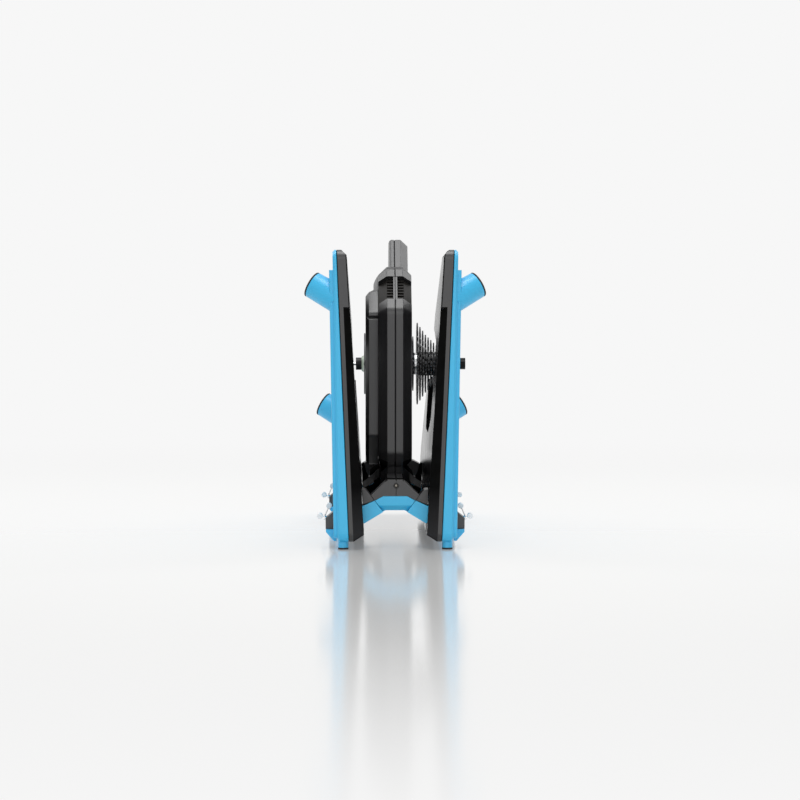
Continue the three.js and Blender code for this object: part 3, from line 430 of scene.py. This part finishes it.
# Leg covers
# The inner half of each leg is a moulded cover in black plastic, screwed to the shell from inside. A narrow
# flat edge runs beside the seam, and a broad dull bevel falls away from it to the inner face. The bevel is
# painted shade in black without gloss, paler near the floor as painted floor light.
inner_planes = (44.2, 69.7)
cover_steps = [(10, inner_planes, 0), (9.2, inner_planes, 0.6), (0.5, seam_planes, -7.5),
               (0, seam_planes, -6.6), (0, seam_planes, -0.95), (0.8, seam_planes, -0.15)]
upright_steps = [(1.2, inner_planes, 0.2), (0, inner_planes, 1.6), (0, seam_planes, -3)]
upright_slant = [(78, 429), (65, 416), (50, 416), (50, 450), (78, 450)]
slant_ends = (-340, -280)
upright_room = [(-330, 354), (-296, 341), (-288, 341), (-288, 520), (-330, 520)]
room_ends = (30, 110)
moulded_softness = 0.5
charcoal = (0.006, 0.006, 0.0066)
charcoal_pale = (0.010, 0.010, 0.011)
# Tones of the painted shade, a black without gloss that stands in for shadow.
shade_tone_dark = (0.003, 0.003, 0.003, 1)
shade_tone_pale = (0.008, 0.008, 0.008, 1)
# Heights over which the painted shade turns to its foot colour, a painted floor light near the floor.
floor_light_low = 0.02
floor_light_high = 0.09
edge_lean = 0.15
bevel_lean = 0.95


def moulded(name, dark, pale, rough, grain=0.12, gloss=0.7):
    """Injection moulded plastic with a fine spark-eroded texture that blurs its highlights."""
    material, tree, output = new_material(name)
    cloud = clouds(tree, 22.0, 4.0)
    shades = blend(tree, cloud, dark + (1,), pale + (1,))
    grit = node(tree, "ShaderNodeBump", Strength=grain, Distance=0.0001, Height=clouds(tree, 2600.0, 2.0))
    blur = node(tree, "ShaderNodeMapRange", Value=cloud, To_Min=rough - 0.03, To_Max=rough + 0.05)
    principled(tree, output, Base_Color=shades, Roughness=blur.outputs[0], Normal=grit.outputs[0],
               Specular_IOR_Level=gloss)
    return material


def painted_shade_material(name, foot):
    """Painted shade: black without any gloss, which turns to the foot colour near the floor, a painted floor
    light where that colour is paler.
    """
    material, tree, output = new_material(name)
    shades = blend(tree, clouds(tree, 60.0, 3.0), shade_tone_dark, shade_tone_pale)
    height = node(tree, "ShaderNodeSeparateXYZ", Vector=place_of(tree)).outputs["Z"]
    rise = node(tree, "ShaderNodeMapRange", Value=height, From_Min=floor_light_low, From_Max=floor_light_high)
    tone = blend(tree, rise.outputs["Result"], foot + (1,), shades)
    principled(tree, output, Base_Color=tone, Roughness=0.6, Specular_IOR_Level=0)
    return material


black_plastic = moulded("black_plastic", (0.015, 0.015, 0.0162), (0.022, 0.022, 0.0237), rough=0.35,
                        gloss=0.66)
# Painted shade black for faces in shadow, and for the leg cover bevels, paler near the floor as painted floor
# light.
painted_shade_black = painted_shade_material("painted_shade_black", (0.006, 0.006, 0.006))
cover_bevel_shade = painted_shade_material("cover_bevel_shade", (0.032, 0.032, 0.034))
cover_plastic = moulded("cover_plastic", charcoal, charcoal_pale, rough=0.16, grain=0.01, gloss=0.1)
for side in ("left", "right"):
    mirrored = side == "left"
    cover = leg_loft("leg_panel_" + side, cover_steps, mirrored)
    upright = leg_loft("upright", upright_steps, mirrored)
    combine(upright, [bar("room", upright_room, flat_plane, room_ends, mirrored)], "INTERSECT")
    combine(upright, [bar("slant", upright_slant, along_y, slant_ends, mirrored)], "DIFFERENCE")
    combine(cover, [upright], "UNION")
    combine(cover, arm_slots(side), "DIFFERENCE")
    soften(cover, moulded_softness)
    dress(cover, cover_plastic, "leg_" + side, ["leg_cover_" + side])
    cover.data.materials.append(black_plastic)
    cover.data.materials.append(cover_bevel_shade)
    # The bevel, leaning between the rear and the inner face, takes the painted shade with its painted floor
    # light.
    for face in cover.data.polygons:
        across = abs(face.normal.x)
        face.material_index = 1 if across < edge_lean else 2 if across < bevel_lean else 0

# Housing halves
# Two moulded plastic halves meet at a grooved seam. Each carries its share of the crown, the neck and the
# flared foot, with a recess for the vent grille across the rear slope. The flare's fold, the chamfers round
# the neck and the top of the rear ridge are painted shade, in black without gloss.
shell_outline = [(-190, 108), (190, 108), (200, 132.4), (200, 342), (142, 406), (-142, 406), (-200, 342),
                 (-200, 132.4)]
crown_outline = [(-120, 385), (120, 385), (66, 448), (-66, 448)]
neck_outline = [(-174, 75), (174, 75), (188, 111.5), (-188, 111.5)]
ridge_outline = [(-278, 75), (258, 75), (258, 101), (-278, 101)]
crest_contour = [(0, 11), (1.2, 12.2)]
shell_radii = (18, 18)
crown_radii = (2.5, 2)
neck_radii = (0.5, 2)
crest_radii = (3, 3)
flare_fold = [(34.7, 76.3), (16.4, 94), (14.2, 95.6), (12.2, 96.6)]
flare_rear = (-278, -242)
flare_front = (112, 258)
axle_height = 258.6
slope_foot = Vector((-200, 342))
slope_unit = (Vector((-142, 406)) - slope_foot).normalized()
slope_in = Vector((slope_unit.y, -slope_unit.x))
vent_low = 22.5
vent_high = 67.4
vent_ends = (-60, 60)
vent_above = -8
vent_depth = 9
vent_pit = 11.6
louver_left = -10.6
louver_right = 14.2
seam_across = 1.5
screw_level = 89.8
recess_radius = 4.4
recess_ends = (-286, -273.5)
groove_outline = [(0.7, 70), (2.3, 70), (2.3, 88), (0.7, 88)]
groove_ends = (-290, -276)
hub_reach = 4
least_lean = 0.2
chamfer_lean = 0.3
fold_band = (70, 98)
chamfer_band = (98, 124)
ridge_band = (94, 103)
ridge_front = -270
vent_band = (3, 30)
rib_half = 4


def on_slope(along, depth):
    """A point of Y and Z on the rear slope, by its distance up the slope and its depth below it."""
    place = slope_foot + slope_unit * along + slope_in * depth
    return (place.x, place.y)


def slope_bar(name, x_range, along, depths):
    """A bar lying on the rear slope, square to it."""
    corners = [on_slope(along[0], depths[0]), on_slope(along[0], depths[1]),
               on_slope(along[1], depths[1]), on_slope(along[1], depths[0])]
    return bar(name, corners, flat_plane, x_range)


def on_axle(name, start, end, radius, sides=64):
    """A round bar on the line of the axle, between two X."""
    return rod(name, (start, 0, axle_height), (end, 0, axle_height), radius, sides)


def layers(name, outline, contour, radii, sign):
    """Stacks an outline across the trainer by (inset, X) pairs."""
    return loft(name, [flat_plane(rounded(outline, *radii, depth), x * sign) for depth, x in contour])


def flare_part(sign, seam, ends):
    """A length of the flared foot beside a pair of arms, with a soft fold at its top edge."""
    half = [(seam, 75), (17.5, 75), (29.2, 69)] + flare_fold + [(seam, 97)]
    return bar("flare", [(x * sign, z) for x, z in half], along_y, ends)


def housing_half(side, seam, flat, edge, crown_flat, crown_edge, crown_cut, bore, floor_flat, rib_width):
    """One half, drawn outwards from its seam."""
    sign = -1 if side == "left" else 1
    contour = [(1, seam), (0, seam + 1), (0, flat - 1), (0.4, flat), (12.1, edge - 0.3), (13.5, edge)]
    shell = layers("housing_shell_" + side, shell_outline, contour, shell_radii, sign)
    crown = layers("crown", crown_outline,
                   [(1, seam), (0, seam + 1), (0, crown_flat - 0.6), (0.3, crown_flat),
                    (crown_cut - 0.3, crown_edge - 0.2), (crown_cut, crown_edge)], crown_radii, sign)
    neck = layers("neck", neck_outline,
                  [(0.8, seam), (0, seam + 0.8), (0, flat - 1), (0.4, flat), (8.6, flat + 8.4),
                   (9, flat + 9)], neck_radii, sign)
    ends = combine(flare_part(sign, seam, flare_rear), [flare_part(sign, seam, flare_front)], "UNION")
    crest = layers("crest", ridge_outline, [(0.6, seam), (0, seam + 0.6)] + crest_contour, crest_radii, sign)
    combine(shell, [crown, neck, crest, ends], "UNION")
    inner = layers("inner", shell_outline, [(vent_depth, seam - 0.5), (vent_depth, floor_flat),
                                            (vent_depth + edge - floor_flat, edge)], shell_radii, sign)
    vent = slope_bar("vent_cut", vent_ends, (vent_low, vent_high), (vent_above, vent_depth * 3))
    pit = slope_bar("vent_pit", (louver_left, louver_right), (vent_low + 1, vent_high - 1),
                    (vent_above, vent_pit))
    rib = slope_bar("rib", sorted((seam * sign, (seam + rib_width) * sign)), (vent_low - 3, vent_high + 3),
                    (0.6, vent_depth * 3))
    combine(vent, [inner], "DIFFERENCE")
    combine(vent, [pit], "UNION")
    combine(vent, [rib], "DIFFERENCE")
    hub = on_axle("hub_opening", (edge - hub_reach) * sign, (edge + hub_reach) * sign, bore, sides=96)
    recess = rod("recess", *[(seam_across, y, screw_level) for y in recess_ends], recess_radius)
    groove = bar("slot_below", groove_outline, along_y, groove_ends)
    return combine(shell, [hub, vent, recess, groove], "DIFFERENCE")


def in_shade(face):
    """True for the faces of a half that are painted shade, in black without gloss."""
    aslant = abs(face.normal.x) > least_lean
    upward = face.normal.z > least_lean
    y, z = face.center.y / mm, face.center.z / mm
    fold = aslant and upward and y > flare_front[0] and fold_band[0] < z < fold_band[1]
    chamfer = aslant and abs(face.normal.z) > chamfer_lean and chamfer_band[0] < z < chamfer_band[1]
    return fold or chamfer or (upward and y < ridge_front and ridge_band[0] < z < ridge_band[1])


def in_vent(face):
    """True for the faces of a half inside the vent, apart from the rib at the seam."""
    place = Vector((face.center.y, face.center.z)) / mm - slope_foot
    along, depth = place.dot(slope_unit), place.dot(slope_in)
    inside = vent_low + 0.2 < along < vent_high - 0.2 and vent_band[0] < depth < vent_band[1]
    return inside and abs(face.center.x / mm - seam_across) > rib_half


vent_plastic = moulded("vent_plastic", (0.018, 0.0165, 0.0155), (0.027, 0.025, 0.0235), rough=0.5, gloss=0.15)
halves = {
    "right": housing_half("right", seam=1.65, flat=13.4, edge=26, crown_flat=11, crown_edge=21.5,
                          crown_cut=10, bore=22, floor_flat=14.2, rib_width=3.1),
    "left": housing_half("left", seam=-1.35, flat=11, edge=23.5, crown_flat=4, crown_edge=6, crown_cut=2,
                         bore=126, floor_flat=10.8, rib_width=2.6),
}
for side, half in halves.items():
    soften(half, moulded_softness)
    dress(half, black_plastic, "base", ["housing_" + side])
    half.data.materials.append(vent_plastic)
    half.data.materials.append(painted_shade_black)
    # Faces in shade take the painted shade black, and faces in the vent take the vent plastic.
    for face in half.data.polygons:
        if in_shade(face):
            face.material_index = 2
        if in_vent(face):
            face.material_index = 1

# Vent grille
# Eight thin moulded louvers cross the dark pit of the recess, either side of the rib at the seam. They share
# the dull plastic of the recess.
louver_rows = 8
louver_start = vent_low + 1.8
louver_width = 2.2
louver_thick = 1.8


def new_tree(name, **settings):
    """A Geometry Nodes tree with named inputs, each a kind of socket, and its first node."""
    tree = bpy.data.node_groups.new(name, "GeometryNodeTree")
    for label, kind in settings.items():
        tree.interface.new_socket(label, in_out="INPUT", socket_type="NodeSocket" + kind)
    tree.interface.new_socket("Geometry", in_out="OUTPUT", socket_type="NodeSocketGeometry")
    return tree, tree.nodes.new("NodeGroupInput")


def end_tree(tree, geometry, material):
    """Gives the geometry its material and ends the tree there."""
    made = node(tree, "GeometryNodeSetMaterial", Geometry=geometry, Material=material)
    link(tree, made.outputs["Geometry"], tree.nodes.new("NodeGroupOutput").inputs[0])
    return tree


def row_tree(name):
    """Geometry Nodes that repeat a mesh in a straight row."""
    tree, start = new_tree(name, Geometry="Geometry", Count="Int", Step="Vector", Finish="Material")
    row = node(tree, "GeometryNodeMeshLine", Count=start.outputs["Count"], Offset=start.outputs["Step"])
    placed = node(tree, "GeometryNodeInstanceOnPoints", Points=row.outputs["Mesh"],
                  Instance=start.outputs["Geometry"])
    real = node(tree, "GeometryNodeRealizeInstances", Geometry=placed.outputs["Instances"])
    return end_tree(tree, real.outputs["Geometry"], start.outputs["Finish"])


def grow(piece, tree, **settings):
    """Runs a Geometry Nodes tree on a piece and keeps the result as plain mesh."""
    modifier = piece.modifiers.new("nodes", "NODES")
    modifier.node_group = tree
    for item in tree.interface.items_tree:
        if item.in_out == "INPUT" and item.name in settings:
            modifier[item.identifier] = settings[item.name]
    return bake(piece)


louver_step = slope_unit * (vent_high - vent_low) / louver_rows * mm
louvers = slope_bar("vent_louvers", (louver_left, louver_right), (louver_start, louver_start + louver_width),
                    (vent_depth - 1, vent_depth + louver_thick))
grow(louvers, row_tree("louver_row"), Count=louver_rows, Finish=vent_plastic,
     Step=(0, louver_step.x, louver_step.y))
dress(louvers, vent_plastic, "base", ["vent_grille"])

# Motor cover
# A moulded tub closes the left side over the stator, with its outer rim bevelled and a notch across its end
# faces. Above it a round shoulder carries on the slope of the housing over the rotor.
tub_radius = 10
tub_softness = 0.4
tub_steps = [(0, 371.5, 23.8), (0, 371.5, 30.5), (0, 368.5, 37.2), (0.6, 368, 38), (4.6, 367, 42)]
shoulder_start = -29.7
shoulder_profile = [(0, 100), (0, 122.4), (0.6, 124.4), (2.6, 129.4), (5.9, 135), (5.9, 100)]
notch_corners = [(172.5, 334), (168.4, 331.6), (172.5, 327.2)]
notch_ends = (-50, -20)
axle_clearance = 10.6
turned_centre = 0.02


def tub_section(depth, top, x):
    """The tub's outline at one X, with its own height."""
    outline = [(-127.3, 111), (127.3, 111), (172, 155.9), (172, 337.1), (139, top), (-139, top),
               (-172, 337.1), (-172, 155.9)]
    return flat_plane(rounded(outline, tub_radius, tub_radius, depth), -x)


def turned(name, origin, axis, profile, sides=64):
    """A closed lathe of (distance along the axis, radius) pairs from an origin, in millimetres."""
    start = Vector(origin)
    way = Vector(axis).normalized()
    first = way.orthogonal().normalized()
    second = way.cross(first)
    angles = [2 * math.pi * i / sides for i in range(sides)]
    spokes = [first * math.cos(angle) + second * math.sin(angle) for angle in angles]
    return loft(name, [[start + way * along + spoke * max(radius, turned_centre) for spoke in spokes]
                       for along, radius in profile])


motor_tub = loft("motor_tub", [tub_section(*step) for step in tub_steps])
shoulder = turned("shoulder", (shoulder_start, 0, axle_height), (1, 0, 0), shoulder_profile, sides=128)
combine(motor_tub, [shoulder], "UNION")
notches = [bar("notch", [(y * way, z) for y, z in notch_corners], flat_plane, notch_ends)
           for way in (-1, 1)]
axle_hole = on_axle("axle_hole", -50, -36, axle_clearance, sides=40)
combine(motor_tub, notches + [axle_hole], "DIFFERENCE")
soften(motor_tub, tub_softness)
dress(motor_tub, black_plastic, "base", ["motor_cover"])

# Base castings, latch blocks and arm covers
# The spine and the four hinge arms are cast and powder coated blue, and the front crossbar is black. Moulded
# covers clip over the arms, and black blocks carry the latches. Below each front cover sit a band and a thin
# sheet of painted shade, black without gloss, which also blackens the band's edges. The upward chamfers of
# the spine are painted shade as well. All keep their CAD shape with softened edges.
shade_sheet_outline = [(17.5, 52.6), (36, 44), (45.6, 46), (46.7, 63.6), (48.6, 97), (45, 99), (41, 84), (37, 76),
                 (36, 61), (17.5, 71)]
band_outline = [(19.6, 71), (46.6, 56.9), (46.9, 67.3), (19.6, 86)]
shade_sheet_ends = (111.1, 112.2)
band_ends = (110.2, 112.2)
shade_face_ends = (111.05, 111.95)
spine_bevel = [(-280, 63.5), (-280, 45), (-261.5, 45)]
bevel_ends = (-50, 50)
bevel_rise = 0.4
cast_softness = 0.6
cap_softness = 0.3
block_softness = 0.8
crossbar_softness = 1.2


def recast(name, source, width, added=(), cuts=()):
    """A softened copy of a CAD node, with solids added to it or cut from it first."""
    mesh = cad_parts[source].data.copy()
    work = bmesh.new()
    work.from_mesh(mesh)
    bmesh.ops.remove_doubles(work, verts=work.verts, dist=merge_distance)
    work.to_mesh(mesh)
    work.free()
    made = add_object(name, mesh)
    combine(made, added, "UNION")
    combine(made, cuts, "DIFFERENCE")
    return soften(made, width)


for place in ("front_left", "front_right", "rear_left", "rear_right"):
    end, side = place.split("_")
    mirrored = side == "left"
    arm = recast("arm_casting_" + place, "arm_" + place, cast_softness)
    dress(arm, powder_blue, "base", ["arm_" + place])
    if end == "front":
        sheet_and_band = [bar("shade_sheet", shade_sheet_outline, along_y, shade_sheet_ends, mirrored),
                  bar("band", band_outline, along_y, band_ends, mirrored)]
        cap = recast("arm_cap_" + place, "arm_cover_" + place, cap_softness, added=sheet_and_band)
    else:
        cap = recast("arm_cap_" + place, "arm_cover_" + place, cast_softness)
    dress(cap, black_plastic, "base", ["arm_cover_" + place])
    # Faces within the thin sheet's span take the painted shade black.
    if end == "front":
        cap.data.materials.append(painted_shade_black)
        for face in cap.data.polygons:
            face.material_index = int(shade_face_ends[0] < face.center.y / mm < shade_face_ends[1])
    block = recast("latch_body_" + place, "latch_block_" + place, block_softness)
    dress(block, black_plastic, "leg_" + side, ["latch_block_" + place])
bevel = bar("bevel", spine_bevel, flat_plane, bevel_ends)
spine = recast("spine", "base_frame", block_softness, cuts=[bevel])
dress(spine, powder_blue, "base", ["base_frame"])
# The spine's upward chamfers take the painted shade black.
spine.data.materials.append(painted_shade_black)
for face in spine.data.polygons:
    face.material_index = int(face.normal.z > bevel_rise and abs(face.normal.x) > least_lean)
crossbar = recast("crossbar", "front_crossbar", crossbar_softness)
dress(crossbar, black_plastic, "base", ["front_crossbar"])

# Feet
# Each leg carries two blue tubes that become its feet when it is spread. A tube flares a little towards the
# leg that it is welded to, and a rubber pad with a softened rim closes its outer end.
foot_way = Vector((0.8325, 0.2756, 0.4806))
foot_ends = {"front": Vector((109.2, 100, 192.5)), "rear": Vector((119.6, -275, 379.2))}
tube_profile = [(-46, 20.4), (-3.2, 19.25), (-2.7, 19.0), (-2.5, 18.4), (-2.5, 14.0)]
pad_profile = [(-2.6, 16.0), (-2.3, 19.0), (-2.0, 19.25), (-0.7, 19.25), (-0.2, 18.9), (0, 18.2)]


def shade(piece):
    """Smooth shading, kept sharp where faces meet at more than the crease angle."""
    piece.data.shade_smooth()
    piece.data.set_sharp_from_angle(angle=crease_angle)
    return piece


black_rubber = moulded("black_rubber", (0.012, 0.012, 0.013), (0.022, 0.022, 0.023), rough=0.7, grain=0.5,
                       gloss=0.4)
for side in ("left", "right"):
    way = -1 if side == "left" else 1
    for end, place in foot_ends.items():
        tip = Vector((place.x * way, place.y, place.z))
        axis = Vector((foot_way.x * way, foot_way.y, foot_way.z))
        where = "{}_{}".format(end, side)
        tube = turned("foot_" + where, tip, axis, tube_profile)
        dress(shade(tube), powder_blue, "leg_" + side, ["foot_tube_" + where])
        pad = turned("foot_cap_" + where, tip, axis, pad_profile)
        dress(shade(pad), black_rubber, "leg_" + side, ["foot_pad_" + where])

# Seam screw
# A domed steel screw closes the seam at the foot of the housing. Its steel is given a dark warm grey. It
# sits in a round recess, over a thin slot.
screw_seat = -274.3
screw_profile = [(-13, 1.5), (-0.1, 1.6), (0, 2.9), (0.8, 2.9), (1.6, 2.5), (2.2, 1.6), (2.4, 0.6), (2.42, 0)]
polish_spread = 0.06


def metal(name, colour, rough):
    """Turned or rolled metal with faint streaks in its polish."""
    material, tree, output = new_material(name)
    cloud = clouds(tree, 260.0, 3.0)
    shades = blend(tree, cloud, tuple(part * 0.8 for part in colour) + (1,), colour + (1,))
    blur = node(tree, "ShaderNodeMapRange", Value=cloud, To_Min=rough - polish_spread,
                To_Max=rough + polish_spread)
    principled(tree, output, Base_Color=shades, Roughness=blur.outputs[0], Metallic=1.0)
    return material


screw_steel = metal("screw_steel", (0.20, 0.185, 0.16), 0.3)
screw = turned("seam_screw", (seam_across, screw_seat, screw_level), (0, -1, 0), screw_profile, sides=32)
dress(shade(screw), screw_steel, "base", ["housing_screw"])

# Latch pulls
# Each latch is drawn by a steel pin with a bar across its head. Two wire loops hang from the bar, and each
# ends in a pale moulded roller for the finger.
pull_tilt = math.radians(30)
pull_root = (94.5, 39)
pull_head = 8.7
pin_sunk = 4
pin_radius = 3
bar_half = 15
bar_radius = 1.6
wire_half = 5.5
wire_radius = 0.8
roller_radius = 4
roller_half = 7
loops = [(-8, (108.3, 46.2)), (8, (95.2, 59.4))]
bar_softness = 0.4
roller_softness = 0.9


def gather(name, parts):
    """Joins separate closed pieces in one mesh, each with its own material."""
    work = bmesh.new()
    mesh = bpy.data.meshes.new(name)
    for part, material in parts:
        start = len(work.faces)
        work.from_mesh(part.data)
        if material.name not in mesh.materials:
            mesh.materials.append(material)
        work.faces.ensure_lookup_table()
        for face in work.faces[start:]:
            face.material_index = mesh.materials.find(material.name)
        bpy.data.objects.remove(part)
    work.to_mesh(mesh)
    work.free()
    return add_object(name, mesh)


def on_pull(along):
    """X and Z on the pin of a latch, by the distance from its root."""
    return (pull_root[0] + along * math.cos(pull_tilt), pull_root[1] + along * math.sin(pull_tilt))


bright_steel = metal("bright_steel", (0.78, 0.79, 0.80), 0.2)
pale_plastic = moulded("pale_plastic", (0.80, 0.80, 0.80), (0.88, 0.88, 0.88), rough=0.3, grain=0.02,
                       gloss=0.5)
for place in ("front_left", "front_right", "rear_left", "rear_right"):
    end, side = place.split("_")
    way = -1 if side == "left" else 1
    y = arm_centres[end]
    x, z = on_pull(pull_head)
    head_x = x * way
    sunk_x, sunk_z = on_pull(-pin_sunk)
    head_bar = rod("bar", (head_x, y - bar_half, z), (head_x, y + bar_half, z), bar_radius, sides=16)
    pin = rod("pin", (sunk_x * way, y, sunk_z), (head_x, y, z), pin_radius, sides=24)
    parts = [(soften(head_bar, bar_softness), bright_steel), (pin, bright_steel)]
    for offset, (loop_x, loop_z) in loops:
        middle = y + offset
        loop_x *= way
        for at in (middle - wire_half, middle + wire_half):
            wire = rod("wire", (head_x, at, z), (loop_x, at, loop_z), wire_radius, sides=12)
            parts.append((wire, bright_steel))
        roller = rod("roller", (loop_x, middle - roller_half, loop_z), (loop_x, middle + roller_half, loop_z),
                     roller_radius, sides=24)
        parts.append((soften(roller, roller_softness), pale_plastic))
    pull = shade(gather("latch_ring_" + place, parts))
    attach(pull, "latch_" + place)
    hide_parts("latch_pull_" + place)

# Cassette
# Nine stamped steel cogs stand on thin spacers over the freehub, the largest inboard. Each has one tooth for
# every half inch of chain.
cog_start = 36.9
cog_pitch = 4.2
cog_thick = 1.8
cog_teeth = (30, 27, 24, 21, 19, 17, 15, 13, 11)
chain_pitch = 12.7
tooth_outline = [(-6.5, -3.9), (-2.6, -3.5), (0.2, -1.9), (2.3, -1.0), (2.3, 1.0), (0.2, 1.9), (-2.6, 3.5),
                 (-6.5, 3.9)]
tooth_root = 3.7
cassette_bore = 17.4
bore_ends = (20, 90)
spacer_radius = 18.4
spacer_set = 0.4


def cog_tree(name):
    """Geometry Nodes that set a tooth round a cog's pitch circle and stand the cog on the axle."""
    tree, start = new_tree(name, Geometry="Geometry", Teeth="Int", Radius="Float", Place="Vector",
                           Finish="Material")
    teeth = start.outputs["Teeth"]
    circle = node(tree, "GeometryNodeMeshCircle", Vertices=teeth, Radius=start.outputs["Radius"])
    step = maths(tree, "DIVIDE", 2 * math.pi, teeth)
    turn = maths(tree, "MULTIPLY", tree.nodes.new("GeometryNodeInputIndex").outputs[0], step)
    angles = node(tree, "ShaderNodeCombineXYZ", Z=turn)
    placed = node(tree, "GeometryNodeInstanceOnPoints", Points=circle.outputs["Mesh"],
                  Instance=start.outputs["Geometry"], Rotation=angles.outputs[0])
    real = node(tree, "GeometryNodeRealizeInstances", Geometry=placed.outputs["Instances"])
    stood = node(tree, "GeometryNodeTransform", Geometry=real.outputs["Geometry"],
                 Translation=start.outputs["Place"], Rotation=(0, math.pi / 2, 0))
    return end_tree(tree, stood.outputs["Geometry"], start.outputs["Finish"])


cog_steel = metal("cog_steel", (0.07, 0.07, 0.072), 0.3)
toothing = cog_tree("cog_teeth")
cassette_parts = []
for number, teeth in enumerate(cog_teeth):
    pitch_radius = chain_pitch / 2 / math.sin(math.pi / teeth)
    low = cog_start + cog_pitch * number
    tooth = loft("tooth", [[(x, y, z) for x, y in tooth_outline] for z in (-cog_thick / 2, cog_thick / 2)])
    grow(tooth, toothing, Teeth=teeth, Radius=pitch_radius * mm, Finish=cog_steel,
         Place=((low + cog_thick / 2) * mm, 0, axle_height * mm))
    cassette_parts.append((tooth, cog_steel))
    blank = on_axle("blank", low, low + cog_thick, pitch_radius - tooth_root)
    combine(blank, [on_axle("hole", low - 4, low + 6, cassette_bore)], "DIFFERENCE")
    cassette_parts.append((blank, cog_steel))
last = cog_start + cog_pitch * (len(cog_teeth) - 1)
spacer = on_axle("spacer", cog_start + spacer_set, last + spacer_set, spacer_radius)
combine(spacer, [on_axle("hole", *bore_ends, cassette_bore)], "DIFFERENCE")
cassette_parts.append((spacer, black_plastic))
cassette_piece = shade(gather("cassette_cogs", cassette_parts))
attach(cassette_piece, "freehub")
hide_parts("cassette")

# Parts kept from the CAD frame
# The rest shows as it was modelled, each part in its own finish: bright steel for the skewer, the bearings
# and the hinge rods, dark steel for the rotor and its flanges, copper for the windings, rubber for the pads.
adapter_step = -0.0481


def adapter_finish():
    """The axle end cap: a cast cone in grey green, and a blackened end beyond it."""
    material, tree, output = new_material("adapter_two_tone")
    along = node(tree, "ShaderNodeSeparateXYZ", Vector=place_of(tree)).outputs["X"]
    cast = blend(tree, clouds(tree, 300.0, 2.0), (0.30, 0.36, 0.29, 1), (0.38, 0.44, 0.36, 1))
    tone = blend(tree, maths(tree, "LESS_THAN", along, adapter_step), cast, (0.012, 0.012, 0.013, 1))
    principled(tree, output, Base_Color=tone, Roughness=0.38, Metallic=0.3)
    return material


dark_steel = metal("dark_steel", (0.045, 0.045, 0.05), 0.35)
copper = metal("copper_winding", (0.5, 0.22, 0.1), 0.4)
board_green = moulded("board_green", (0.02, 0.09, 0.04), (0.03, 0.12, 0.06), rough=0.35, grain=0.1)
kept_finish = {
    bright_steel: ("skewer_rod", "skewer_cup", "skewer_lever", "axle", "bearing_left",
                   "bearing_right", "bearing_freehub", "freehub", "hinge_rod_left", "hinge_rod_right"),
    dark_steel: ("rotor", "end_disc", "drive_flange", "lockring", "adapter_right"),
    adapter_finish(): ("adapter_left",),
    copper: ("stator",),
    board_green: ("circuit_board",),
    black_rubber: ("stand_pad_front_left", "stand_pad_front_right", "stand_pad_rear_left",
                   "stand_pad_rear_right"),
    black_plastic: ("power_socket",),
    cover_plastic: ("skewer_nut",),
}
for finish, names in kept_finish.items():
    for name in names:
        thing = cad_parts[name]
        thing.data.materials.clear()
        thing.data.materials.append(finish)
